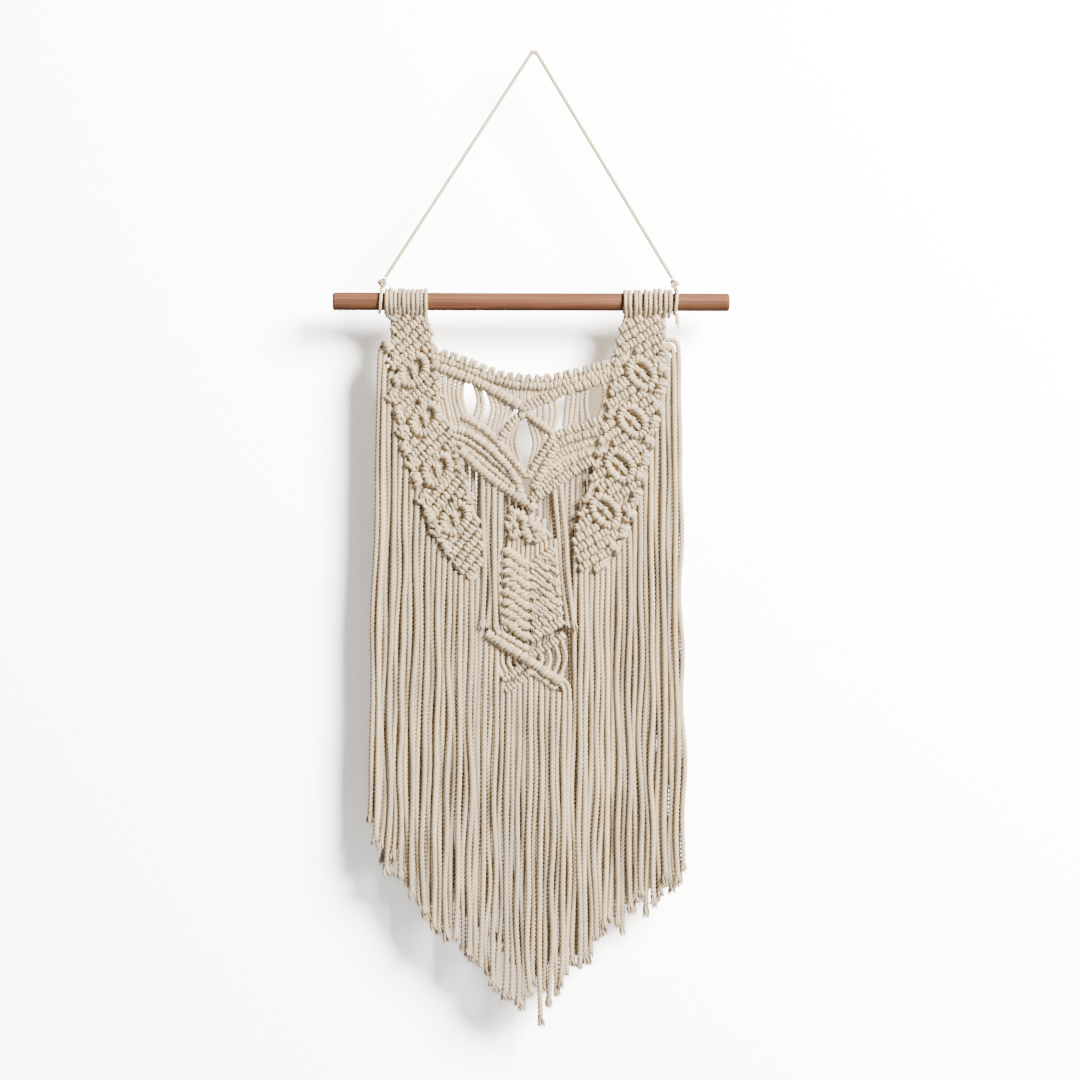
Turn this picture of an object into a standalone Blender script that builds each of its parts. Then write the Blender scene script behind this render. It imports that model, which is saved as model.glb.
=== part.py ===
"""Macrame wall hanging on a wooden dowel, as it hangs from one wall hook.

The hook point is the origin, +Z is up, the front faces -Y and the wall is on the +Y side.
Every table below is in millimetres and is turned into metres where it is used.
"""

import math
from collections import namedtuple

import bmesh
import bpy
from mathutils import Matrix, Vector

MM = 0.001
OBJECT_NAME = "macrame_wall_hanging"
END_TAPER = 0.62  # a rounded end's width beside the full width
WELD = 0.00002  # metres within which two corners are one

# Dowel
DOWEL_HEIGHT = -187.0  # centre line, below the hook point
DOWEL_RADIUS = 6.75
DOWEL_LEFT = -152.0
DOWEL_RIGHT = 148.0
DOWEL_END_ROUNDING = 1.6
DOWEL_SIDES = 40

# Hanging cord
HANGER_CORD = 3.0  # cord diameter
HANGER_BEND_RADIUS = 3.2  # centre-line radius of the bend over the hook
HANGER_FOOT_LEFT = (-112.3, -168.7)
HANGER_FOOT_RIGHT = (104.7, -168.7)
HANGER_STEP = 7.0  # length of cord between two points
HITCH_KNOT_RADIUS = 4.0
HITCH_KNOT_DEPTH = 6.4
HITCH_CLEARANCE = 0.45  # between the cord's turn and the dowel
HITCH_LEFT = (-116.4, -114.8)  # across, for the turn and for its knot
HITCH_RIGHT = (108.9, 107.0)
HITCH_KNOT_HEIGHT = -172.8

# Knotting cord
LARKS_HEADS_LEFT = (-113.2, -80.2)
LARKS_HEADS_RIGHT = (66.6, 104.6)
LARKS_HEAD_CORDS = 10
SLEEVE_RIB = 1.2  # a cord's height above the valley beside it
SLEEVE_RADIUS = DOWEL_RADIUS + 3.9  # over the cords wrapped on the dowel
SLEEVE_BORE = DOWEL_RADIUS + 0.5
SLEEVE_SIDES = 18
BAR_DEPTH = 8.4  # front to back of a row of half hitches
RIDGE_STANDS_OUT = 1.3  # a ridge's height above the body that carries it
BERRY_RADIUS = 4.6  # a small square knot at a strap's outer edge
BERRY_OVERHANG = 0.8  # how much thicker a berry is than its strap
EYE_KNOT_SET_BACK = 1.2  # an eye knot's centre lies behind its diamond's
TIE_SET_FORWARD = 1.25  # a tie row stands out this much more than a diamond
EDGE_CHAMFER = 0.9
STRAP_SQUARENESS = 0.62  # 1 is an oval section, less is nearer a rectangle
ALMOND_POINT = 1.35  # 1 is an oval eye, more is nearer a pointed almond

# Fringe
STRAND_WIDTH = 3.5
STRAND_DEPTH = 4.0
WEB_LENGTH = 5.0  # height over which neighbouring strands stay joined at their tops

Row = namedtuple("Row", "height outer inner front back")
Bar = namedtuple("Bar", "x1 z1 x2 z2")
Strand = namedtuple("Strand", "x_top z_top x_end z_end")

STRAP_LEFT_ROWS = [
    Row(-198.2, -112.6, -80.8, -4.0, 3.4),
    Row(-204.0, -112.8, -79.4, -4.6, 3.4),
    Row(-214.0, -113.4, -76.6, -5.2, 3.2),
    Row(-224.0, -113.0, -74.6, -5.4, 3.2),
    Row(-238.0, -109.0, -72.6, -5.4, 3.0),
    Row(-250.0, -106.6, -71.2, -5.4, 3.0),
    Row(-262.0, -108.6, -69.8, -5.4, 3.0),
    Row(-274.0, -104.6, -65.8, -5.4, 3.0),
    Row(-286.0, -102.4, -61.6, -5.4, 3.0),
    Row(-299.0, -100.4, -57.6, -5.4, 3.0),
    Row(-312.0, -94.6, -53.6, -5.4, 3.0),
    Row(-325.0, -90.6, -49.2, -5.4, 3.0),
    Row(-337.0, -87.0, -45.8, -5.4, 3.0),
    Row(-350.0, -81.6, -41.8, -5.4, 3.0),
    Row(-362.0, -77.0, -38.6, -5.2, 2.8),
    Row(-374.0, -71.0, -37.6, -5.0, 2.6),
    Row(-386.0, -62.0, -38.6, -4.6, 2.4),
    Row(-397.0, -52.6, -40.6, -3.8, 1.8),
]

STRAP_RIGHT_ROWS = [
    Row(-198.2, 101.0, 67.0, -4.0, 3.4),
    Row(-206.0, 100.8, 64.6, -4.8, 2.4),
    Row(-216.0, 101.0, 62.4, -5.6, 2.0),
    Row(-228.0, 101.2, 60.6, -6.8, 1.6),
    Row(-240.0, 100.6, 58.8, -7.4, 1.0),
    Row(-252.0, 99.6, 57.2, -7.6, 1.0),
    Row(-264.0, 98.2, 55.4, -7.6, 1.0),
    Row(-278.0, 94.8, 52.6, -7.6, 1.0),
    Row(-292.0, 91.2, 49.4, -7.4, 1.0),
    Row(-305.0, 87.6, 46.0, -7.2, 1.0),
    Row(-318.0, 84.8, 42.2, -7.0, 1.0),
    Row(-332.0, 81.4, 38.6, -6.6, 1.4),
    Row(-345.0, 78.0, 34.0, -6.2, 1.6),
    Row(-358.0, 73.4, 30.2, -5.8, 1.8),
    Row(-370.0, 67.4, 28.6, -5.4, 1.8),
    Row(-381.0, 60.4, 31.0, -4.8, 1.6),
    Row(-391.0, 52.0, 35.6, -3.8, 1.2),
]

DIAMONDS_LEFT = [(-91.4, -238.8), (-82.4, -275.4), (-73.3, -313.6), (-59.7, -350.6)]
DIAMONDS_RIGHT = [(81.0, -241.0), (74.4, -277.0), (64.8, -311.0), (53.4, -345.0)]
DIAMOND_LEAN = (0.30, -0.30)  # sideways lean of the left and the right diamonds
DIAMOND_HALF_WIDTH = 12.6
DIAMOND_HALF_HEIGHT = 14.6
EYE_KNOT_RADIUS = 4.0
RIDGE_WIDTH = 7.6

TIE_BARS_LEFT = [
    Bar(-77.8, -246.0, -95.5, -262.5),
    Bar(-70.5, -283.0, -88.5, -300.0),
    Bar(-57.5, -322.0, -73.0, -341.0),
    Bar(-45.5, -356.0, -58.5, -373.0),
]
TIE_BARS_RIGHT = [
    Bar(90.0, -251.5, 66.0, -266.5),
    Bar(86.5, -286.0, 60.5, -302.0),
    Bar(76.5, -316.5, 53.0, -334.0),
    Bar(64.5, -354.0, 35.5, -372.5),
]

BERRIES_LEFT = [
    (-109.0, -209.0), (-109.8, -221.0), (-105.5, -232.0), (-103.6, -247.0), (-107.6, -259.0),
    (-102.6, -271.0), (-99.8, -285.0), (-97.2, -298.0), (-92.0, -309.0), (-88.6, -322.0),
    (-84.4, -336.0), (-79.4, -348.0), (-73.6, -360.0), (-66.4, -373.0),
]
BERRIES_RIGHT = [
    (98.2, -224.0), (97.4, -238.0), (96.2, -252.0), (93.2, -266.0), (90.6, -279.0),
    (87.2, -293.0), (83.6, -306.0), (80.8, -320.0), (77.0, -334.0), (73.0, -348.0),
    (67.6, -361.0), (60.6, -373.0),
]

# Neckline and the chevron row under it: centre lines
NECKLINE_PATH = [
    (-73.0, -223.6), (-60.0, -227.8), (-52.1, -231.2), (-40.0, -237.4), (-28.7, -242.4),
    (-17.0, -245.6), (-6.0, -247.0), (6.8, -247.0), (17.0, -245.6), (27.2, -243.3),
    (38.0, -239.8), (47.6, -235.8), (58.4, -230.6),
]
NECKLINE_WIDTH = 8.0
PICOT_RADIUS = 3.1
PICOT_PITCH = 7.2
PICOT_LIFT = 2.6
PICOT_DEPTH = 6.0
CHEVRON_PATH = [
    (-71.6, -233.6), (-55.9, -241.1), (-45.0, -246.4), (-34.8, -251.6), (-27.0, -256.2),
    (-20.4, -260.0), (-13.4, -263.0), (-7.8, -264.0), (-1.0, -261.6), (8.0, -258.2),
    (18.9, -255.4), (31.0, -251.6), (43.1, -247.1), (57.0, -241.8),
]
CHEVRON_WIDTH = 9.2

# Nets of loose strands between the chevron row and the leaves
NET_DEPTH = 4.4
NET_LEFT_OUTLINE = [
    (-67.0, -241.8), (-57.6, -246.0), (-45.6, -251.8), (-35.6, -257.0), (-22.0, -265.6),
    (-15.6, -268.6), (-14.4, -270.4), (-20.0, -276.2), (-27.0, -282.6), (-31.4, -287.0),
    (-37.0, -282.8), (-43.0, -280.6), (-50.0, -276.4), (-58.6, -275.0), (-65.8, -272.0),
    (-69.2, -262.0), (-70.4, -250.0), (-70.6, -241.0),
]
NET_RIGHT_OUTLINE = [
    (0.0, -268.2), (8.0, -264.0), (19.6, -260.9), (32.0, -257.0), (43.6, -252.5),
    (55.4, -247.8), (56.4, -254.0), (54.6, -263.0), (52.6, -273.0), (49.6, -277.4),
    (38.0, -278.6), (26.0, -282.6), (17.4, -285.4), (11.4, -281.8), (3.4, -274.4),
    (-1.6, -270.0),
]
Eye = namedtuple("Eye", "x z width height lean")
NET_LEFT_EYES = [
    Eye(-48.4, -261.6, 9.4, 13.0, -0.20),
    Eye(-35.4, -268.6, 4.2, 15.0, -0.10),
]
NET_RIGHT_EYES = [
    Eye(46.2, -263.8, 7.6, 16.0, -0.10),
    Eye(20.4, -270.4, 5.2, 12.6, 0.0),
]

NET_LEFT_ROW = [(-55.0, -270.6), (-46.0, -275.0), (-38.0, -281.0), (-31.4, -287.6)]
NET_RIGHT_ROW = [(15.4, -285.4), (27.0, -282.0), (38.0, -278.8), (48.4, -275.4)]
NET_ROW_WIDTH = 6.6

# Centre diamond round its open eye
DIAMOND_BARS = [
    Bar(-9.6, -273.4, -23.4, -288.8),
    Bar(-23.4, -290.6, -8.4, -311.0),
    Bar(-5.0, -273.4, 8.8, -289.4),
    Bar(8.8, -291.2, -5.0, -311.0),
]
DIAMOND_BAR_WIDTH = 7.2
DIAMOND_WEB_DEPTH = 5.0
DIAMOND_WEB = [(-7.2, -272.0), (-24.0, -289.8), (-6.8, -313.6), (9.6, -290.2)]
DIAMOND_EYE = Eye(-6.6, -294.2, 9.4, 27.0, 0.0)

# Leaves: pairs of half-hitch rows filled with small knots
LEAF_BAR_WIDTH = 7.2
LEAF_LEFT_UPPER = [
    (-61.0, -281.6), (-51.0, -283.2), (-42.6, -287.2), (-34.4, -293.6), (-26.6, -301.6),
    (-19.0, -311.4), (-14.0, -321.2), (-12.0, -329.6),
]
LEAF_LEFT_LOWER = [
    (-54.8, -299.8), (-43.4, -311.0), (-34.8, -318.6), (-26.0, -325.4), (-17.6, -331.0),
    (-9.0, -337.0), (-0.6, -343.2),
]
LEAF_LEFT_WEB = [
    (-58.0, -282.6), (-46.0, -286.0), (-33.0, -295.6), (-22.6, -307.0), (-15.4, -321.0),
    (-12.4, -333.0), (-22.0, -327.4), (-34.0, -318.0), (-45.0, -307.4), (-52.0, -299.4),
    (-56.0, -290.4),
]
LEAF_RIGHT_UPPER = [
    (1.6, -320.2), (7.6, -311.0), (13.4, -302.0), (19.0, -294.8), (26.6, -290.6),
    (36.0, -287.2), (49.0, -283.0),
]
LEAF_RIGHT_LOWER = [
    (1.4, -333.4), (9.6, -328.6), (18.0, -322.6), (26.6, -316.4), (34.4, -311.4),
    (43.4, -307.2),
]
LEAF_RIGHT_WEB = [
    (1.0, -333.0), (1.8, -322.0), (9.6, -309.4), (18.4, -296.6), (29.0, -290.4),
    (45.0, -285.0), (46.0, -292.0), (43.0, -301.6), (40.0, -308.6), (27.0, -315.8),
    (13.0, -326.0),
]
LEAF_WEB_DEPTH = 5.6

# Column of square knots under the V
COLUMN_OUTLINE = [
    (-20.4, -345.6), (-14.0, -343.2), (-9.4, -345.4), (-3.6, -349.4), (3.6, -352.0), (8.6, -356.6),
    (11.0, -365.6), (5.0, -367.8), (-2.6, -368.4), (-13.0, -367.0), (-19.6, -361.0),
    (-21.6, -353.0),
]
COLUMN_DEPTH = 6.0
COLUMN_BAR_WIDTH = 5.6
COLUMN_BAR_SET_FORWARD = 1.6
COLUMN_EYE = Eye(-10.6, -356.0, 3.6, 4.6, 0.0)
COLUMN_BARS = [
    Bar(-16.6, -349.6, -4.6, -362.4),
    Bar(-15.6, -361.6, -4.0, -354.6),
    Bar(1.4, -356.0, 6.6, -363.0),
]

# V-shaped panel of slanting half-hitch rows
PANEL_OUTLINE = [
    (-22.6, -373.0), (-14.0, -371.0), (-2.0, -372.6), (11.0, -370.4), (15.4, -384.0),
    (18.2, -400.0), (20.4, -414.0), (22.0, -429.4), (12.0, -436.6), (-2.2, -445.0), (-14.0, -438.6),
    (-22.8, -433.2), (-23.2, -412.0), (-23.2, -392.0),
]
PANEL_DEPTH = 6.4
PANEL_ROW_WIDTH = 5.2
PANEL_FIRST_RIDGE = -386.0
PANEL_RIDGE_PITCH = 10.4
PANEL_RIDGES = 5
PANEL_RIDGE_LEFT = -20.4
PANEL_RIDGE_RIGHT = 14.6
PANEL_RIDGE_DROP = 12.0
PANEL_CENTRE = -3.4

# Crossed bars under the panel
CROSS_LONG = [
    (-34.6, -438.6), (-24.0, -445.6), (-12.0, -453.0), (0.0, -461.0), (12.0, -469.2),
    (19.8, -475.4), (23.4, -482.6), (24.2, -489.4),
]
CROSS_UPPER_LEFT = Bar(-27.6, -437.6, -5.6, -450.6)
CROSS_UPPER_RIGHT = Bar(-2.6, -454.6, 20.6, -440.4)
CROSS_LOWER_LEFT = [Bar(-5.6, -460.2, -22.6, -471.6), Bar(-3.4, -466.6, -21.2, -479.2)]
CROSS_LOWER_RIGHT = Bar(-3.0, -465.2, 14.6, -478.6)
CROSS_BAR_WIDTH = 8.2
CROSS_THIN_WIDTH = 6.6
CROSS_THIN_DEPTH = 7.0

# Strands: one row each, in order from left to right
LEFT_OUTER_STRANDS = [
    Strand(-116.4, -226.5, -124.2, -583.0),
    Strand(-113.0, -265.0, -119.8, -598.0),
    Strand(-108.9, -277.0, -115.4, -604.0),
    Strand(-104.8, -291.0, -111.0, -623.0),
    Strand(-100.7, -304.0, -106.6, -612.0),
    Strand(-96.6, -315.0, -102.2, -626.0),
    Strand(-92.5, -328.0, -97.8, -631.0),
    Strand(-88.4, -342.0, -93.4, -640.0),
    Strand(-84.3, -354.0, -89.0, -645.0),
    Strand(-80.2, -366.0, -84.6, -652.0),
    Strand(-76.1, -370.0, -80.2, -658.0),
    Strand(-72.0, -379.0, -75.8, -664.0),
    Strand(-67.9, -384.0, -71.4, -668.0),
    Strand(-63.8, -389.0, -67.0, -672.0),
]
LEFT_INNER_STRANDS = [
    Strand(-59.7, -393.5, -62.6, -664.0),
    Strand(-55.5, -398.6, -58.2, -672.0),
    Strand(-51.3, -398.6, -53.8, -680.0),
    Strand(-47.1, -398.6, -49.4, -684.0),
]
LEFT_NET_STRANDS = [
    Strand(-34.6, -325.8, -34.6, -433.8),
    Strand(-30.2, -329.4, -30.2, -434.2),
    Strand(-25.8, -332.6, -25.8, -433.0),
]
RIGHT_NET_STRANDS = [Strand(15.2, -331.6, 26.2, -432.6)]
CENTRE_STRANDS = [
    Strand(-40.6, -436.0, -44.6, -690.0),
    Strand(-36.4, -445.6, -40.2, -694.0),
    Strand(-32.2, -449.6, -35.8, -698.0),
    Strand(-28.0, -453.0, -31.4, -707.0),
    Strand(-23.8, -482.0, -27.0, -712.0),
    Strand(-19.6, -486.4, -22.6, -716.0),
    Strand(-15.4, -484.4, -18.2, -719.0),
    Strand(-11.2, -482.0, -13.8, -723.0),
    Strand(-7.0, -479.6, -9.4, -724.0),
    Strand(-2.8, -477.4, -5.0, -716.0),
    Strand(1.4, -479.0, -0.6, -706.0),
    Strand(5.6, -482.0, 4.0, -736.0),
    Strand(9.8, -484.6, 8.6, -712.0),
    Strand(14.0, -486.2, 13.2, -722.0),
    Strand(22.0, -490.2, 20.6, -708.0),
    Strand(26.2, -490.2, 25.0, -700.0),
]
RIGHT_INNER_STRANDS = [
    Strand(31.2, -386.6, 29.4, -692.0),
    Strand(35.3, -393.0, 33.6, -694.0),
    Strand(39.4, -393.0, 37.8, -689.0),
    Strand(43.5, -393.0, 42.0, -684.0),
    Strand(47.6, -393.0, 46.2, -672.0),
    Strand(51.7, -393.0, 50.4, -670.0),
    Strand(55.8, -389.6, 54.6, -664.0),
    Strand(59.9, -385.6, 58.8, -660.0),
    Strand(64.0, -382.6, 63.0, -662.0),
]
RIGHT_OUTER_STRANDS = [
    Strand(68.1, -379.4, 67.2, -668.0),
    Strand(72.2, -370.0, 71.6, -650.0),
    Strand(76.3, -366.0, 76.0, -643.0),
    Strand(80.4, -350.0, 80.6, -641.0),
    Strand(84.5, -342.0, 85.2, -654.0),
    Strand(88.6, -328.0, 89.8, -646.0),
    Strand(92.7, -312.0, 94.6, -640.0),
    Strand(97.0, -300.0, 99.4, -628.0),
    Strand(101.4, -274.0, 104.2, -637.0),
    Strand(105.8, -222.0, 109.0, -630.0),
    Strand(110.2, -222.0, 113.8, -622.0),
]
# The layer behind, which hangs from the backs of the leaves and the straps
BACK_STRANDS = [
    Strand(-96.0, -330.0, -97.0, -600.0),
    Strand(-86.0, -330.0, -87.0, -618.0),
    Strand(-76.0, -326.0, -77.0, -632.0),
    Strand(-66.0, -322.0, -66.6, -640.0),
    Strand(-56.0, -316.0, -56.4, -650.0),
    Strand(-46.0, -312.0, -46.2, -660.0),
    Strand(-36.0, -319.0, -36.2, -668.0),
    Strand(-26.0, -326.0, -26.2, -676.0),
    Strand(-16.0, -333.0, -16.2, -690.0),
    Strand(-6.0, -341.0, -6.2, -696.0),
    Strand(4.0, -335.0, 3.8, -700.0),
    Strand(13.0, -328.0, 12.8, -690.0),
    Strand(21.0, -321.0, 20.6, -684.0),
    Strand(29.0, -316.0, 28.6, -676.0),
    Strand(38.0, -311.0, 37.6, -668.0),
    Strand(48.0, -306.0, 47.6, -654.0),
    Strand(58.0, -312.0, 57.6, -646.0),
    Strand(68.0, -320.0, 67.6, -640.0),
    Strand(78.0, -326.0, 78.0, -628.0),
    Strand(88.0, -330.0, 88.4, -622.0),
]

# Where each flat piece lies, front to back
NET_MIDDLE = 0.4
LEAF_MIDDLE = -0.8
PANEL_MIDDLE = -1.0
CROSS_MIDDLE = -1.4
FRONT_STRANDS_MIDDLE = -0.9
BACK_STRANDS_MIDDLE = 5.8


def clear_scene():
    for obj in list(bpy.data.objects):
        bpy.data.objects.remove(obj)


def make_material(name, colour, roughness):
    mat = bpy.data.materials.new(name)
    mat.use_nodes = True
    shader = mat.node_tree.nodes["Principled BSDF"]
    shader.inputs["Base Color"].default_value = (*colour, 1.0)
    shader.inputs["Roughness"].default_value = roughness
    shader.inputs["Metallic"].default_value = 0.0
    return mat


def new_object(name, data, matrix=None):
    obj = bpy.data.objects.new(name, data)
    bpy.context.scene.collection.objects.link(obj)
    if matrix is not None:
        obj.matrix_world = matrix
    return obj


def into_mesh(obj):
    """The object as a plain mesh in world space, with nothing left to evaluate."""
    bpy.context.view_layer.update()
    graph = bpy.context.evaluated_depsgraph_get()
    mesh = bpy.data.meshes.new_from_object(obj.evaluated_get(graph))
    mesh.transform(obj.matrix_world)
    shape = bmesh.new()
    shape.from_mesh(mesh)
    bmesh.ops.remove_doubles(shape, verts=shape.verts, dist=WELD)
    bmesh.ops.recalc_face_normals(shape, faces=shape.faces)
    shape.to_mesh(mesh)
    shape.free()
    mesh.materials.clear()
    name = obj.name
    bpy.data.objects.remove(obj)
    made = new_object(name, mesh)
    made.name = name
    return made


def combine(base, others, operation="UNION"):
    """One closed body from a base and the shapes added to it or cut from it."""
    for other in others:
        step = base.modifiers.new("step", "BOOLEAN")
        step.operation = operation
        step.solver = "EXACT"
        step.object = other
        base = into_mesh(base)
        bpy.data.objects.remove(other)
    return base


def smooth(points, steps):
    """A curve through the points, with this many steps between one and the next."""
    count = len(points)
    found = []
    for i in range(count - 1):
        before, start = points[max(i - 1, 0)], points[i]
        end, after = points[i + 1], points[min(i + 2, count - 1)]
        for k in range(steps):
            t = k / steps
            found.append(tuple(
                0.5 * (2 * b + (c - a) * t + (2 * a - 5 * b + 4 * c - d) * t * t
                       + (3 * b - a - 3 * c + d) * t * t * t)
                for a, b, c, d in zip(before, start, end, after)
            ))
    found.append(tuple(points[-1]))
    return found


def tube(name, path, width, depth=None, middle=0.0, rounded_ends=False, facets=2):
    """A cord or bar along (x, z) or (x, y, z) places in millimetres, flattened to its depth."""
    depth = depth or width
    places = [p if len(p) == 3 else (p[0], 0.0, p[1]) for p in path]
    curve = bpy.data.curves.new(name, "CURVE")
    curve.dimensions = "3D"
    curve.bevel_depth = width / 2 * MM
    curve.bevel_resolution = facets
    curve.use_fill_caps = True
    spline = curve.splines.new("POLY")
    spline.points.add(len(places) - 1)
    for point, place in zip(spline.points, places):
        point.co = (place[0] * MM, place[1] * MM, place[2] * MM, 1.0)
    if rounded_ends:
        spline.points[0].radius = END_TAPER
        spline.points[-1].radius = END_TAPER
    matrix = Matrix.Translation((0.0, middle * MM, 0.0))
    matrix = matrix @ Matrix.Diagonal((1.0, depth / width, 1.0, 1.0))
    return into_mesh(new_object(name, curve, matrix))


def ridge(name, bar, width, depth, middle):
    """A straight row of half hitches with rounded ends."""
    start, end = Vector((bar.x1, bar.z1)), Vector((bar.x2, bar.z2))
    along = (end - start).normalized()
    inset = along * min(width * 0.3, (end - start).length * 0.3)
    path = [tuple(start), tuple(start + inset), tuple(end - inset), tuple(end)]
    return tube(name, path, width, depth, middle, rounded_ends=True, facets=1)


def rounded_row(name, path, width, depth, middle, steps=2):
    """A curved row of half hitches with rounded ends."""
    return tube(name, smooth(path, steps), width, depth, middle, rounded_ends=True)


def ball(name, place, radius, depth, middle):
    mesh = bpy.data.meshes.new(name)
    shape = bmesh.new()
    bmesh.ops.create_uvsphere(shape, u_segments=8, v_segments=5, radius=radius * MM)
    bmesh.ops.scale(shape, vec=(1.0, depth / (2 * radius), 1.0), verts=shape.verts)
    spot = Vector((place[0], middle, place[1])) * MM
    bmesh.ops.translate(shape, vec=spot, verts=shape.verts)
    shape.to_mesh(mesh)
    shape.free()
    return new_object(name, mesh)


def eye_outline(eye):
    """An almond: two arcs that meet in rounded points, leaning sideways."""
    sides = 14
    found = []
    for i in range(sides):
        turn = 2 * math.pi * i / sides
        across = math.copysign(abs(math.cos(turn)) ** ALMOND_POINT, math.cos(turn)) * eye.width / 2
        up = math.sin(turn) * eye.height / 2
        found.append((eye.x + across + eye.lean * up, eye.z + up))
    return found


def plate(name, outline, depth, middle, eyes=(), chamfer=EDGE_CHAMFER):
    """A flat piece with this outline, upright in the X-Z plane."""
    curve = bpy.data.curves.new(name, "CURVE")
    curve.dimensions = "2D"
    curve.fill_mode = "BOTH"
    curve.extrude = (depth / 2 - chamfer) * MM
    curve.bevel_depth = chamfer * MM
    curve.bevel_resolution = 0
    curve.offset = -chamfer * MM
    for loop in [outline, *map(eye_outline, eyes)]:
        spline = curve.splines.new("POLY")
        spline.points.add(len(loop) - 1)
        spline.use_cyclic_u = True
        for point, (x, z) in zip(spline.points, loop):
            point.co = (x * MM, z * MM, 0.0, 1.0)
    upright = Matrix.Rotation(math.pi / 2, 4, "X")
    return into_mesh(new_object(name, curve, Matrix.Translation((0, middle * MM, 0)) @ upright))


def turned(name, profile, sides):
    """A solid turned about the X axis of the dowel from (x, radius) places in millimetres."""
    mesh = bpy.data.meshes.new(name)
    count = len(profile)
    mesh.from_pydata(
        [(radius * MM, 0.0, x * MM) for x, radius in profile],
        [(i, i + 1) for i in range(count - 1)],
        [],
    )
    lie_down = Matrix.Translation((0, 0, DOWEL_HEIGHT * MM)) @ Matrix.Rotation(math.pi / 2, 4, "Y")
    obj = new_object(name, mesh, lie_down)
    screw = obj.modifiers.new("turn", "SCREW")
    screw.axis = "Z"
    screw.steps = sides
    screw.render_steps = sides
    screw.use_merge_vertices = True
    screw.merge_threshold = 0.00005
    return into_mesh(obj)


def section(row, sides=14, squareness=STRAP_SQUARENESS):
    """One level section of a strap: a rounded oblong between its four edges."""
    across, through = (row.outer + row.inner) / 2, (row.front + row.back) / 2
    half_width, half_depth = abs(row.outer - row.inner) / 2, (row.back - row.front) / 2
    found = []
    for i in range(sides):
        turn = 2 * math.pi * i / sides
        c, s = math.cos(turn), math.sin(turn)
        x = across + half_width * math.copysign(abs(c) ** squareness, c)
        y = through + half_depth * math.copysign(abs(s) ** squareness, s)
        found.append(Vector((x, y, row.height)) * MM)
    return found


def strap(name, rows):
    """A strap lofted down its table of sections."""
    mesh = bpy.data.meshes.new(name)
    shape = bmesh.new()
    rings = [[shape.verts.new(place) for place in section(row)] for row in rows]
    sides = len(rings[0])
    for upper, lower in zip(rings, rings[1:]):
        for i in range(sides):
            j = (i + 1) % sides
            shape.faces.new((upper[i], upper[j], lower[j], lower[i]))
    shape.faces.new(rings[0])
    shape.faces.new(list(reversed(rings[-1])))
    bmesh.ops.recalc_face_normals(shape, faces=shape.faces)
    shape.to_mesh(mesh)
    shape.free()
    return new_object(name, mesh)


def row_at(rows, height):
    """The strap's section row nearest to a height."""
    return min(rows, key=lambda row: abs(row.height - height))


def knotted_strap(name, rows, diamonds, lean, ties, berries):
    """A strap with its diamonds, its tie rows and the knots along its outer edge."""
    added = []
    for x, z in diamonds:
        front = row_at(rows, z).front
        middle = front - RIDGE_STANDS_OUT + RIDGE_WIDTH / 2
        slide = lean * DIAMOND_HALF_HEIGHT
        top = (x - slide, z + DIAMOND_HALF_HEIGHT)
        foot = (x + slide, z - DIAMOND_HALF_HEIGHT)
        for side in (-DIAMOND_HALF_WIDTH, DIAMOND_HALF_WIDTH):
            for end in (top, foot):
                bar = Bar(*end, x + side, z)
                added.append(ridge("ridge", bar, RIDGE_WIDTH, RIDGE_WIDTH, middle))
        spot = middle + EYE_KNOT_SET_BACK
        added.append(ball("eye_knot", (x, z), EYE_KNOT_RADIUS, 2 * EYE_KNOT_RADIUS, spot))
    for bar in ties:
        front = row_at(rows, (bar.z1 + bar.z2) / 2).front
        middle = front - RIDGE_STANDS_OUT * TIE_SET_FORWARD + RIDGE_WIDTH / 2
        added.append(ridge("ridge", bar, RIDGE_WIDTH, RIDGE_WIDTH, middle))
    for place in berries:
        row = row_at(rows, place[1])
        middle = (row.front + row.back) / 2
        depth = row.back - row.front + BERRY_OVERHANG
        added.append(ball("berry", place, BERRY_RADIUS, depth, middle))
    return combine(strap(name, rows), added)


def build_dowel():
    r, k = DOWEL_RADIUS, DOWEL_END_ROUNDING
    left = [(DOWEL_LEFT, 0.0), (DOWEL_LEFT, r - k)]
    right = [(DOWEL_RIGHT, r - k), (DOWEL_RIGHT, 0.0)]
    corner = [(1 - math.cos(a), math.sin(a)) for a in (math.pi / 6, math.pi / 3, math.pi / 2)]
    rise = [(DOWEL_LEFT + k * across, r - k + k * up) for across, up in corner]
    fall = [(DOWEL_RIGHT - k * across, r - k + k * up) for across, up in reversed(corner)]
    return turned("dowel", left + rise + fall + right, DOWEL_SIDES)


def hanger_path():
    """Foot to foot over the hook, straight on both sides of one small bend."""
    centre = Vector((0.0, HANGER_CORD / 2 - HANGER_BEND_RADIUS))
    feet = [Vector(HANGER_FOOT_LEFT), Vector(HANGER_FOOT_RIGHT)]
    touching = []
    for foot, side in zip(feet, (-1, 1)):
        reach = foot - centre
        swing = math.acos(HANGER_BEND_RADIUS / reach.length)
        heading = math.atan2(reach.y, reach.x)
        touching.append(heading + side * swing)
    left, right = [], []
    for foot, heading, found in zip(feet, touching, (left, right)):
        point = centre + Vector((math.cos(heading), math.sin(heading))) * HANGER_BEND_RADIUS
        count = round((foot - point).length / HANGER_STEP)
        for i in range(count + 1):
            found.append(tuple(foot.lerp(point, i / count)))
    arc = []
    start, end = touching[0] % (2 * math.pi), touching[1] % (2 * math.pi)
    for i in range(1, 6):
        heading = start + (end - start) * i / 6
        place = centre + Vector((math.cos(heading), math.sin(heading))) * HANGER_BEND_RADIUS
        arc.append(tuple(place))
    return left + arc + right[::-1]


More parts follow.
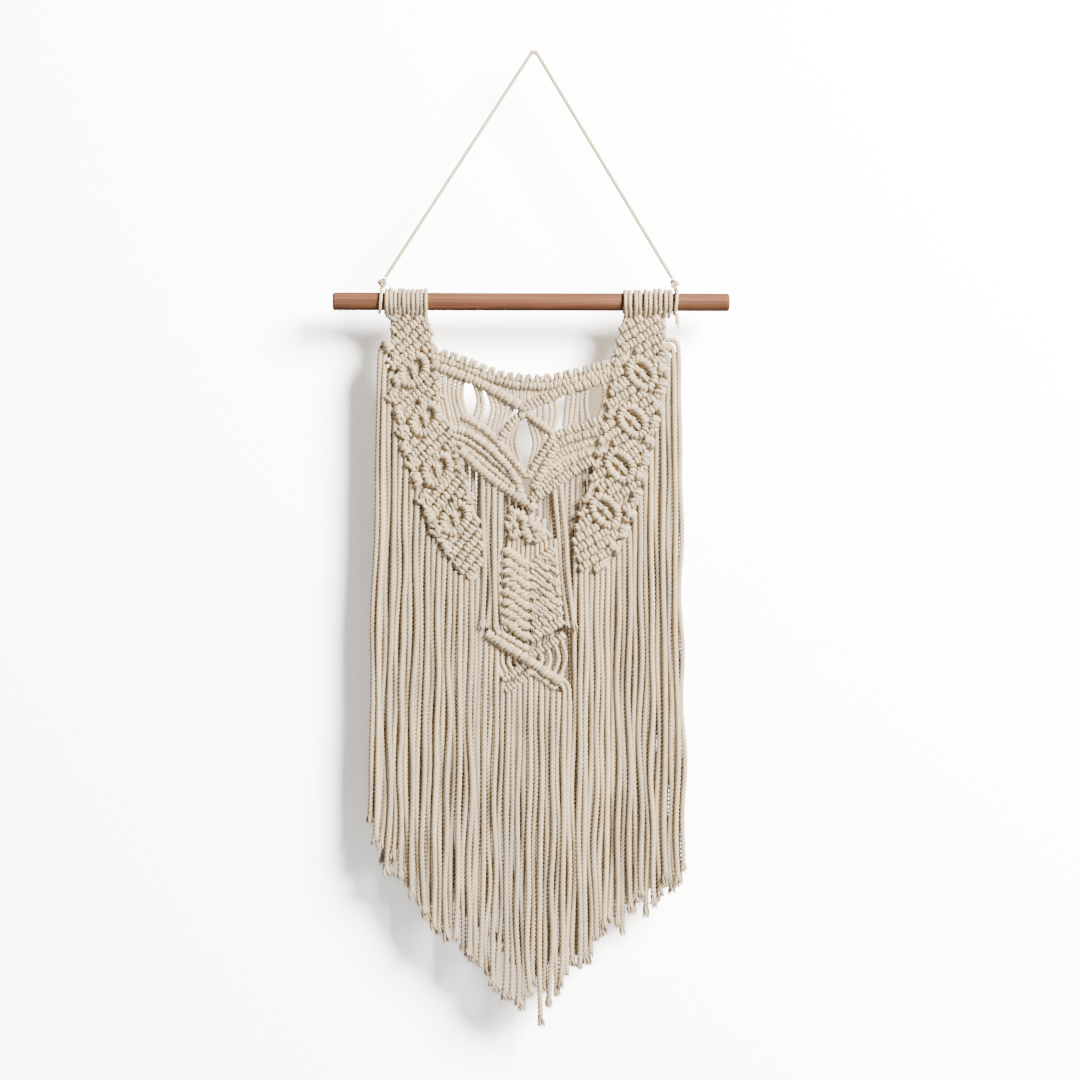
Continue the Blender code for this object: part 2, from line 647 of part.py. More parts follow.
def build_hitch(name, places, tail):
    """The cord's turn round the dowel, with the knot above it and, on one side, a short tail."""
    loop_x, knot_x = places
    radius = DOWEL_RADIUS + HITCH_CLEARANCE + HANGER_CORD / 2
    mesh = bpy.data.meshes.new(name)
    shape = bmesh.new()
    around, across = 24, 8
    rings = []
    for i in range(around):
        turn = 2 * math.pi * i / around
        ring = []
        for k in range(across):
            roll = 2 * math.pi * k / across
            reach = radius + HANGER_CORD / 2 * math.cos(roll)
            x = loop_x + HANGER_CORD / 2 * math.sin(roll)
            place = (x, reach * math.sin(turn), DOWEL_HEIGHT + reach * math.cos(turn))
            ring.append(shape.verts.new(Vector(place) * MM))
        rings.append(ring)
    for i in range(around):
        near, far = rings[i], rings[(i + 1) % around]
        for k in range(across):
            m = (k + 1) % across
            shape.faces.new((near[k], near[m], far[m], far[k]))
    bmesh.ops.recalc_face_normals(shape, faces=shape.faces)
    shape.to_mesh(mesh)
    shape.free()
    added = [ball("knot", (knot_x, HITCH_KNOT_HEIGHT), HITCH_KNOT_RADIUS, HITCH_KNOT_DEPTH, 0.0)]
    link = [(loop_x, DOWEL_HEIGHT + radius), (knot_x, HITCH_KNOT_HEIGHT)]
    added.append(tube("link", link, HANGER_CORD))
    if tail:
        drop = DOWEL_HEIGHT - radius
        path = [(loop_x, 0.0, drop + 0.6), (loop_x + 0.9, -0.4, drop - 3.0), (loop_x + 1.2, -0.4, drop - 7.5)]
        added.append(tube("tail", path, HANGER_CORD))
    return combine(new_object(name, mesh), added)


def build_larks_heads(name, span):
    """A group of cords wrapped over the dowel side by side: a ribbed sleeve."""
    start, end = span
    pitch = (end - start) / LARKS_HEAD_CORDS
    outer = []
    for i in range(LARKS_HEAD_CORDS):
        near = start + i * pitch
        valley, crown = SLEEVE_RADIUS - SLEEVE_RIB, SLEEVE_RADIUS
        outer += [(near, valley), (near + 0.3 * pitch, crown), (near + 0.7 * pitch, crown)]
    outer.append((end, valley))
    first, last = outer[0][0], outer[-1][0]
    profile = [(first, SLEEVE_BORE), *outer, (last, SLEEVE_BORE), (first, SLEEVE_BORE)]
    return turned(name, profile, SLEEVE_SIDES)


def build_neckline():
    path = smooth(NECKLINE_PATH, 2)
    band = tube("neckline", path, NECKLINE_WIDTH, BAR_DEPTH, LEAF_MIDDLE, rounded_ends=True)
    picots = []
    travelled, due = 0.0, PICOT_PITCH * 0.6
    for (x1, z1), (x2, z2) in zip(path, path[1:]):
        length = math.hypot(x2 - x1, z2 - z1)
        while due <= travelled + length:
            t = (due - travelled) / length
            lift = (-(z2 - z1) / length * PICOT_LIFT, (x2 - x1) / length * PICOT_LIFT)
            place = (x1 + (x2 - x1) * t + lift[0], z1 + (z2 - z1) * t + lift[1])
            picots.append(ball("picot", place, PICOT_RADIUS, PICOT_DEPTH, LEAF_MIDDLE))
            due += PICOT_PITCH
        travelled += length
    return combine(band, picots)


def build_net(name, outline, eyes, row):
    """Loose strands side by side, open at the eyes, caught in one row of half hitches below."""
    body = plate(name, outline, NET_DEPTH, NET_MIDDLE, eyes)
    return combine(body, [rounded_row("row", row, NET_ROW_WIDTH, BAR_DEPTH, NET_MIDDLE, 1)])


def build_diamond():
    web = plate("centre_diamond", DIAMOND_WEB, DIAMOND_WEB_DEPTH, NET_MIDDLE, [DIAMOND_EYE])
    bars = [ridge("bar", bar, DIAMOND_BAR_WIDTH, BAR_DEPTH, NET_MIDDLE) for bar in DIAMOND_BARS]
    body = combine(web, bars)
    hole = plate("hole", eye_outline(DIAMOND_EYE), 4 * BAR_DEPTH, NET_MIDDLE, chamfer=0.0)
    return combine(body, [hole], "DIFFERENCE")


def build_leaf(name, web, rows):
    body = plate(name, web, LEAF_WEB_DEPTH, LEAF_MIDDLE)
    bars = [rounded_row("row", row, LEAF_BAR_WIDTH, BAR_DEPTH, LEAF_MIDDLE, 1) for row in rows]
    return combine(body, bars)


def build_column():
    body = plate("centre_knots", COLUMN_OUTLINE, COLUMN_DEPTH, PANEL_MIDDLE, [COLUMN_EYE])
    middle = PANEL_MIDDLE - COLUMN_BAR_SET_FORWARD
    bars = [ridge("bar", bar, COLUMN_BAR_WIDTH, COLUMN_BAR_WIDTH, middle) for bar in COLUMN_BARS]
    return combine(body, bars)


def build_panel():
    """Slanting rows from both sides meet down the middle of the panel."""
    body = plate("centre_panel", PANEL_OUTLINE, PANEL_DEPTH, PANEL_MIDDLE)
    middle = PANEL_MIDDLE - PANEL_DEPTH / 2 + PANEL_ROW_WIDTH / 2 - RIDGE_STANDS_OUT
    bars = []
    for i in range(PANEL_RIDGES):
        top = PANEL_FIRST_RIDGE - i * PANEL_RIDGE_PITCH
        for side in (PANEL_RIDGE_LEFT, PANEL_RIDGE_RIGHT):
            meet = PANEL_CENTRE + math.copysign(1.0, side)
            bar = Bar(side, top, meet, top - PANEL_RIDGE_DROP)
            bars.append(ridge("row", bar, PANEL_ROW_WIDTH, PANEL_ROW_WIDTH, middle))
    return combine(body, bars)


def build_cross():
    body = tube("cross_knot", CROSS_LONG, CROSS_BAR_WIDTH, BAR_DEPTH, CROSS_MIDDLE, True)
    thin = [CROSS_UPPER_LEFT, CROSS_UPPER_RIGHT, CROSS_LOWER_RIGHT, *CROSS_LOWER_LEFT]
    bars = [ridge("bar", bar, CROSS_THIN_WIDTH, CROSS_THIN_DEPTH, CROSS_MIDDLE) for bar in thin]
    return combine(body, bars)


def edge_of(strand, height, side):
    """The place on a strand's left (-1) or right (1) edge at a height."""
    t = (strand.z_top - height) / (strand.z_top - strand.z_end)
    return (strand.x_top + (strand.x_end - strand.x_top) * t + side * STRAND_WIDTH / 2, height)


def build_comb(name, strands, middle):
    """Strands that hang side by side, joined over a short height where they leave the knots."""
    over, under = [], []
    for i, strand in enumerate(strands):
        over += [edge_of(strand, strand.z_top, -1), edge_of(strand, strand.z_top, 1)]
        if i:
            joined = min(strand.z_top, strands[i - 1].z_top)
            under.append(edge_of(strand, joined - WEB_LENGTH, -1))
            if joined < strand.z_top:
                over.insert(-2, edge_of(strand, joined, -1))
        under += [edge_of(strand, strand.z_end, -1), edge_of(strand, strand.z_end, 1)]
        if i + 1 < len(strands):
            joined = min(strand.z_top, strands[i + 1].z_top)
            under.append(edge_of(strand, joined - WEB_LENGTH, 1))
            if joined < strand.z_top:
                over.append(edge_of(strand, joined, 1))
    return plate(name, over + under[::-1], STRAND_DEPTH, middle)


def main():
    clear_scene()
    wood = ((0.50, 0.24, 0.14), 0.5)
    hanger = ((0.80, 0.74, 0.64), 0.85)
    cotton = ((0.78, 0.70, 0.59), 0.9)

    shades = {
        "dowel": wood,
        "hanging_cord": hanger,
        "hitch_left": hanger,
        "hitch_right": hanger,
    }
    pieces = [
        build_dowel(),
        tube("hanging_cord", hanger_path(), HANGER_CORD),
        build_hitch("hitch_left", HITCH_LEFT, tail=False),
        build_hitch("hitch_right", HITCH_RIGHT, tail=True),
        build_larks_heads("larks_heads_left", LARKS_HEADS_LEFT),
        build_larks_heads("larks_heads_right", LARKS_HEADS_RIGHT),
        knotted_strap("strap_left", STRAP_LEFT_ROWS, DIAMONDS_LEFT, DIAMOND_LEAN[0],
                      TIE_BARS_LEFT, BERRIES_LEFT),
        knotted_strap("strap_right", STRAP_RIGHT_ROWS, DIAMONDS_RIGHT, DIAMOND_LEAN[1],
                      TIE_BARS_RIGHT, BERRIES_RIGHT),
        build_neckline(),
        rounded_row("chevron_row", CHEVRON_PATH, CHEVRON_WIDTH, BAR_DEPTH, NET_MIDDLE, 1),
        build_net("net_left", NET_LEFT_OUTLINE, NET_LEFT_EYES, NET_LEFT_ROW),
        build_net("net_right", NET_RIGHT_OUTLINE, NET_RIGHT_EYES, NET_RIGHT_ROW),
        build_diamond(),
        build_leaf("leaf_left", LEAF_LEFT_WEB, [LEAF_LEFT_UPPER, LEAF_LEFT_LOWER]),
        build_leaf("leaf_right", LEAF_RIGHT_WEB, [LEAF_RIGHT_UPPER, LEAF_RIGHT_LOWER]),
        build_column(),
        build_panel(),
        build_cross(),
        build_comb("strands_left_outer", LEFT_OUTER_STRANDS, FRONT_STRANDS_MIDDLE),
        build_comb("strands_left_inner", LEFT_INNER_STRANDS, FRONT_STRANDS_MIDDLE),
        build_comb("strands_left_net", LEFT_NET_STRANDS, FRONT_STRANDS_MIDDLE),
        build_comb("strand_right_net", RIGHT_NET_STRANDS, FRONT_STRANDS_MIDDLE),
        build_comb("strands_centre", CENTRE_STRANDS, FRONT_STRANDS_MIDDLE),
        build_comb("strands_right_inner", RIGHT_INNER_STRANDS, FRONT_STRANDS_MIDDLE),
        build_comb("strands_right_outer", RIGHT_OUTER_STRANDS, FRONT_STRANDS_MIDDLE),
        build_comb("strands_back", BACK_STRANDS, BACK_STRANDS_MIDDLE),
    ]

    collection = bpy.data.collections.new(OBJECT_NAME)
    bpy.context.scene.collection.children.link(collection)
    for piece in pieces:
        colour, roughness = shades.get(piece.name, cotton)
        piece.data.materials.append(make_material(piece.name, colour, roughness))
        bpy.context.scene.collection.objects.unlink(piece)
        collection.objects.link(piece)


main()
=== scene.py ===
"""A macrame wall hanging on a wooden dowel, laid out as a Blender add-on that ties it cord by cord.

The hook point is the origin, +Z is up, the front faces -Y and the wall is on the +Y side.
The tables are in millimetres and the settings in metres.
"""

import math
from collections import namedtuple

import bpy
import numpy as np
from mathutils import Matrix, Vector


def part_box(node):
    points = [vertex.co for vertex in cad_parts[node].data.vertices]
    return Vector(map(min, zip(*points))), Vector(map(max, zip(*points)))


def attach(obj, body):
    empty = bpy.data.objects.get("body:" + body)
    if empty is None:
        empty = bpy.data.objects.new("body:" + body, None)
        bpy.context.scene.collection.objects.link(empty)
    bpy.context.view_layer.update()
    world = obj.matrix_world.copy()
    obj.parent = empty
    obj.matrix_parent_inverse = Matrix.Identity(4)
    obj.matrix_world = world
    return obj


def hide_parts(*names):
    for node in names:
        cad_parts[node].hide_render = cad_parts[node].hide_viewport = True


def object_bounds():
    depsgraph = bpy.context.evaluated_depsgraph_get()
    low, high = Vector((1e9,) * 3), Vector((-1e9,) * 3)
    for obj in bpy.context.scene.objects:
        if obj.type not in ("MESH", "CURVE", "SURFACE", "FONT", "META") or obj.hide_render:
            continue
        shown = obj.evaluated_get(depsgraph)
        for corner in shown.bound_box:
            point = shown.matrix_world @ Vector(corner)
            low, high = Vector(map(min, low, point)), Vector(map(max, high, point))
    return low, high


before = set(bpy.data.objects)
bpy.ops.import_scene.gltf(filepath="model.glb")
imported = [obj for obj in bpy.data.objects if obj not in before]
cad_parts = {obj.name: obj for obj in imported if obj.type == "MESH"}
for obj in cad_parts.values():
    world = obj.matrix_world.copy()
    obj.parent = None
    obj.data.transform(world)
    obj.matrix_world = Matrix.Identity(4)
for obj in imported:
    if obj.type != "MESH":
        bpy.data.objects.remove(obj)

bl_info = {
    "name": "Macrame Wall Hanging",
    "version": (1, 0, 0),
    "blender": (4, 5, 0),
    "location": "3D Viewport > Sidebar > Macrame",
    "description": "Ties a macrame wall hanging on its wooden dowel, with its stage",
    "category": "Add Mesh",
}

CAD_BOX = [[float(value) for value in corner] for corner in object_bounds()]
MM = 0.001
UP = np.array((0.0, 0.0, 1.0))
BACK = np.array((0.0, 1.0, 0.0))
RIGHT = np.array((1.0, 0.0, 0.0))

# Layers, front to back
NET_MIDDLE = 0.4
LEAF_MIDDLE = -0.8
PANEL_MIDDLE = -1.0
CROSS_MIDDLE = -1.4
FRONT_STRANDS_MIDDLE = -0.9
BACK_STRANDS_MIDDLE = 5.6
STRAP_MIDDLE = {"left": -1.5, "right": -3.0}
STRAP_BACKING = {"left": 1.1, "right": -0.4}

# Cords and knots
FRAY = 8.0  # length over which a cut end comes apart
BRUSH_YARNS = 7  # yarns round the one in the middle of a cut end
LOOSE_FIBRES = 12
STRAP_CORDS = 11
STRAP_CORD_RADIUS = 2.15
STRAP_INSET = 1.6  # from the strap's edge to its outermost cord
STRAP_TOP = -198.6
SLEEVE_FOOT = -194.6  # where the cords leave the dowel
ROW_PITCH = 6.7  # from one slanting row of the straps to the next
RING_HALF_WIDTH = 9.2
RING_HALF_HEIGHT = 11.2
LEAVING = 7.0  # how far above its top an outer strand comes out of the strap
BEHIND = 3.2  # from a row of strands to the second layer behind it
DOWEL_HEIGHT = -187.0
DOWEL_RADIUS = 6.75
WRAP_RADIUS = 1.72
WRAPS = 10  # in each group of lark's heads
HOOK_BEND = 3.2
HITCH_REACH = 8.6
CORD_FEET = {-1: (-112.3, -168.9), 1: (104.7, -168.9)}
HITCH_KNOT_HEIGHT = -172.8
SLANT = {"left": 0.16, "right": -0.16}  # lean of the hitches, by the half of the work
PANEL_SLANT = 0.42
PANEL_LOOSENESS = 0.42
SEEDS = {
    "hanging_cord": 3, "hitch_left": 5, "hitch_right": 6, "dowel": 11,
    "larks_heads_left": 21, "larks_heads_right": 22, "strap_left": 31, "strap_right": 32,
    "neckline": 41, "chevron_row": 42, "net_left": 51, "net_right": 52, "centre_diamond": 61,
    "leaf_left": 62, "leaf_right": 63, "centre_knots": 64, "centre_panel": 71, "cross_knot": 72,
}
LINE_SEED, COMB_SEED, FREE_STRAND_SEED = 100, 200, 1000

Hitching = namedtuple("Hitching", "width depth pitch")
HITCHING = {
    "neckline": Hitching(8.0, 7.8, 3.2),
    "chevron left": Hitching(9.4, 8.2, 3.3),
    "chevron right": Hitching(9.2, 8.2, 3.3),
    "net": Hitching(8.2, 8.2, 3.3),
    "ring": Hitching(7.4, 7.8, 2.85),
    "strap": Hitching(7.2, 8.0, 3.25),
    "centre": Hitching(7.8, 8.2, 3.25),
    "leaf foot": Hitching(9.2, 8.2, 3.25),
    "leaf filling": Hitching(6.4, 7.2, 3.25),
    "panel": Hitching(8.8, 6.2, 3.05),
    "long bar": Hitching(9.2, 8.6, 3.05),
    "short bar": Hitching(6.8, 7.4, 3.05),
}

# Wood and stage
FLECK_COLOUR = (0.06, 0.022, 0.010, 1.0)
PATCH_COLOUR = (0.19, 0.080, 0.036, 1.0)
END_RING_COLOUR = (0.17, 0.075, 0.038, 1.0)
END_WOOD_COLOUR = (0.28, 0.135, 0.070, 1.0)
WALL_BOUNCE = 0.22  # share of the paint's colour that the wall throws on the hanging
FLOOR_DROP = 0.16  # from the lowest strand to the floor, in metres
VIEW_WIDTH = 0.816
CAMERA_DISTANCE = 2.35
CAMERA_PLACE = (-0.08, -CAMERA_DISTANCE, -0.367)
CAMERA_TARGET = (0.0045, 0.0, -0.367)
LIGHTS_TARGET = (0.0, 0.0, -0.36)
Lamp = namedtuple("Lamp", "name place size power colour")
LAMPS = (
    Lamp("key light", (1.60, -1.78, 1.02), 1.3, "key_power", (1.0, 0.985, 0.96)),
    Lamp("fill light", (-0.7, -2.9, -0.1), 2.4, "fill_power", (0.97, 0.985, 1.0)),
    Lamp("back light", (0.9, 2.6, 0.5), 1.6, "back_power", (1.0, 1.0, 1.0)),
)

Row = namedtuple("Row", "height outer inner")
Bar = namedtuple("Bar", "x1 z1 x2 z2")
Strand = namedtuple("Strand", "x_top z_top x_end z_end")
Bend = namedtuple("Bend", "x1 z1 x2 z2 x3 z3")

STRAP_ROWS = {
    "left": [
        Row(-196.0, -110.0, -79.8), Row(-212.0, -109.4, -76.2), Row(-238.0, -110.0, -72.6),
        Row(-262.0, -108.6, -69.8), Row(-286.0, -102.4, -61.6), Row(-312.0, -95.6, -53.6),
        Row(-337.0, -87.0, -45.8), Row(-362.0, -77.0, -38.6), Row(-386.0, -62.0, -38.6),
        Row(-397.0, -52.6, -40.6),
    ],
    "right": [
        Row(-196.0, 101.0, 67.4), Row(-216.0, 101.0, 62.4), Row(-240.0, 100.6, 58.8),
        Row(-264.0, 98.2, 55.4), Row(-292.0, 91.2, 49.4), Row(-318.0, 84.8, 42.2),
        Row(-345.0, 78.0, 34.0), Row(-370.0, 67.4, 28.6), Row(-391.0, 52.0, 35.6),
    ],
}
DIAMONDS = {
    "left": [(-91.4, -238.8), (-82.4, -275.4), (-73.3, -313.6), (-59.7, -350.6)],
    "right": [(81.0, -241.0), (74.4, -277.0), (64.8, -311.0), (53.4, -345.0)],
}
DIAMOND_LEAN = {"left": 0.30, "right": -0.30}
TIE_BARS = {
    "left": [
        Bar(-77.8, -246.0, -95.5, -262.5), Bar(-70.5, -283.0, -88.5, -300.0),
        Bar(-57.5, -322.0, -73.0, -341.0), Bar(-45.5, -356.0, -58.5, -373.0),
    ],
    "right": [
        Bar(90.0, -251.5, 66.0, -266.5), Bar(86.5, -286.0, 60.5, -302.0),
        Bar(76.5, -316.5, 53.0, -334.0), Bar(64.5, -354.0, 35.5, -372.5),
    ],
}
BERRIES = {
    "left": [
        (-110.4, -220.0), (-105.5, -232.0), (-103.6, -247.0), (-107.6, -259.0),
        (-102.6, -271.0), (-99.8, -285.0), (-97.2, -298.0), (-92.0, -309.0), (-88.6, -322.0),
        (-84.4, -336.0), (-79.4, -348.0), (-73.6, -360.0), (-66.4, -373.0),
    ],
    "right": [
        (98.2, -224.0), (97.4, -238.0), (96.2, -252.0), (93.2, -266.0), (90.6, -279.0),
        (87.2, -293.0), (83.6, -306.0), (80.8, -320.0), (77.0, -334.0), (73.0, -348.0),
        (67.6, -361.0), (60.6, -373.0),
    ],
}
LARKS_HEADS = {"left": (-113.2, -80.2), "right": (66.6, 104.6)}
HITCHES = {"left": (-115.8, -114.4), "right": (107.6, 106.4)}

NECKLINE = [
    (-76.0, -227.6), (-62.0, -231.8), (-52.1, -235.4), (-40.0, -240.4), (-28.7, -244.4),
    (-17.0, -247.4), (-6.0, -248.8), (6.8, -248.8), (17.0, -247.4), (27.2, -245.0),
    (38.0, -242.4), (47.6, -239.6), (62.0, -234.6),
]
CHEVRON_LEFT = [
    (-76.0, -234.6), (-55.9, -242.6), (-45.0, -246.4), (-34.8, -251.6), (-27.0, -256.2),
    (-20.4, -260.0), (-13.4, -264.2), (-6.6, -268.0),
]
CHEVRON_RIGHT = [
    (60.0, -242.6), (43.1, -248.1), (31.0, -251.6), (18.9, -255.4), (8.0, -260.0), (-5.0, -266.0),
]
NET_ROW = {
    "left": [(-53.4, -274.2), (-45.0, -278.4), (-36.6, -284.4), (-29.6, -290.6)],
    "right": [(17.6, -287.4), (27.0, -283.6), (38.0, -280.4), (49.4, -276.6)],
}
NET_CORDS = {
    "left": [
        Bend(-71.6, -236.0, -70.4, -257.0, -64.6, -285.0),
        Bend(-68.0, -238.0, -67.2, -258.0, -61.6, -284.0),
        Bend(-64.4, -240.0, -64.0, -259.0, -58.6, -283.0),
        Bend(-60.8, -242.0, -60.8, -260.0, -55.4, -282.0),
        Bend(-57.2, -243.0, -57.6, -260.0, -52.6, -276.0),
        Bend(-53.6, -245.0, -54.6, -260.0, -49.8, -277.0),
        Bend(-45.0, -249.0, -42.0, -262.0, -45.0, -275.0),
        Bend(-41.4, -251.0, -38.8, -264.0, -41.0, -278.0),
        Bend(-35.2, -254.0, -31.4, -267.0, -34.6, -283.0),
        Bend(-31.4, -256.0, -27.8, -268.0, -31.0, -284.0),
        Bend(-27.4, -258.0, -24.2, -269.0, -27.6, -282.0),
        Bend(-23.4, -260.0, -20.6, -269.0, -23.6, -279.0),
        Bend(-19.4, -262.0, -17.0, -268.0, -19.6, -275.0),
    ],
    "right": [
        Bend(3.0, -262.0, 3.4, -268.0, 4.4, -276.0),
        Bend(7.0, -261.0, 7.6, -269.0, 8.0, -279.0),
        Bend(11.0, -260.0, 13.0, -270.0, 11.6, -282.0),
        Bend(14.6, -258.0, 17.0, -270.0, 14.6, -283.0),
        Bend(26.0, -254.0, 24.4, -268.0, 22.6, -282.0),
        Bend(29.6, -253.0, 28.6, -267.0, 26.6, -281.0),
        Bend(33.2, -252.0, 32.4, -266.0, 30.6, -280.0),
        Bend(36.8, -250.0, 35.4, -264.0, 36.4, -279.0),
        Bend(40.6, -249.0, 39.2, -263.0, 41.0, -277.0),
        Bend(51.6, -243.0, 53.6, -260.0, 46.0, -284.0),
        Bend(55.4, -238.0, 57.0, -260.0, 48.6, -294.0),
    ],
}
DIAMOND_BARS = {
    "left": [
        [(-7.8, -271.2), (-17.0, -279.0), (-25.6, -290.0)],
        [(-28.0, -292.4), (-19.0, -303.4), (-6.4, -317.8)],
    ],
    "right": [
        [(-5.0, -271.8), (4.6, -279.2), (14.6, -287.4)],
        [(14.2, -289.6), (6.0, -303.0), (-4.4, -318.4)],
    ],
}
DIAMOND_CORDS = [
    Bend(-9.4, -275.0, -14.0, -293.0, -8.8, -313.0),
    Bend(-12.4, -278.0, -17.4, -293.0, -12.8, -308.0),
    Bend(-15.6, -281.0, -20.4, -293.0, -17.0, -303.0),
    Bend(-4.0, -276.0, 0.4, -294.0, -3.4, -312.0),
    Bend(0.4, -279.0, 4.0, -293.0, 1.0, -306.0),
    Bend(4.8, -282.0, 7.4, -291.0, 5.2, -299.0),
]
LEAF_UPPER = {
    "left": [
        (-63.0, -283.0), (-53.0, -285.0), (-43.6, -290.2), (-34.4, -297.4), (-25.4, -306.0),
        (-17.4, -315.4), (-12.4, -324.6), (-10.6, -333.0),
    ],
    "right": [
        (-0.8, -326.4), (5.4, -316.6), (11.2, -304.4), (18.0, -294.8), (26.6, -290.8),
        (36.0, -288.4), (49.8, -284.4),
    ],
}
LEAF_LOWER = {
    "left": [
        (-54.8, -299.8), (-43.4, -311.0), (-34.8, -318.6), (-26.0, -325.4), (-17.6, -331.0),
        (-9.0, -337.0), (-0.6, -343.2),
    ],
    "right": [
        (-2.0, -336.0), (1.4, -333.4), (9.6, -328.6), (18.0, -322.6), (26.6, -316.4), (34.4, -311.4),
        (43.4, -307.2),
    ],
}
COLUMN_KNOTS = [
    (-15.6, -348.6, 40.0), (-8.6, -350.6, -30.0), (-1.4, -355.0, -35.0), (4.8, -359.6, -50.0),
    (-17.6, -355.6, 80.0), (-14.2, -362.6, 60.0), (-6.6, -358.8, 20.0), (-4.6, -364.8, -20.0),
    (2.4, -364.8, 10.0), (8.4, -363.6, 70.0),
]
PANEL_TOP = -374.6
PANEL_PITCH = 7.7
PANEL_ROWS = 8
PANEL_DROP = 12.6
PANEL_CENTRE = -3.4
PANEL_LEFT = -21.4
PANEL_RIGHT = (14.0, 20.4)
CROSS_LONG = [
    (-35.4, -438.0), (-24.0, -445.6), (-12.0, -453.0), (0.0, -461.0), (12.0, -469.2), (18.6, -474.0),
]
CROSS_BARS = [
    [(-29.6, -435.6), (-17.0, -442.8), (-5.6, -449.4)],
    [(-2.6, -454.0), (9.0, -447.4), (21.8, -439.4)],
    [(-5.6, -460.2), (-14.0, -466.4), (-22.6, -472.0)],
    [(-3.4, -467.0), (-12.0, -474.2), (-20.8, -480.4)],
    [(-3.0, -465.6), (6.0, -472.4), (15.2, -479.2)],
]
CROSS_CORDS = [
    Bend(-27.6, -448.0, -28.4, -458.0, -24.6, -470.0),
    Bend(-23.2, -450.0, -24.2, -459.0, -20.0, -468.0),
    Bend(-18.6, -453.0, -19.4, -460.0, -15.6, -466.0),
    Bend(-13.6, -455.0, -13.8, -459.0, -11.0, -463.0),
    Bend(4.6, -452.0, 6.2, -457.0, 4.4, -462.0),
    Bend(10.2, -449.0, 12.4, -457.0, 9.6, -466.0),
    Bend(15.8, -446.0, 18.6, -457.0, 14.6, -469.0),
    Bend(20.8, -443.0, 24.0, -456.0, 19.4, -472.0),
    Bend(17.6, -473.0, 22.6, -479.6, 22.8, -491.0),
    Bend(18.8, -469.6, 26.0, -477.6, 26.8, -491.0),
]

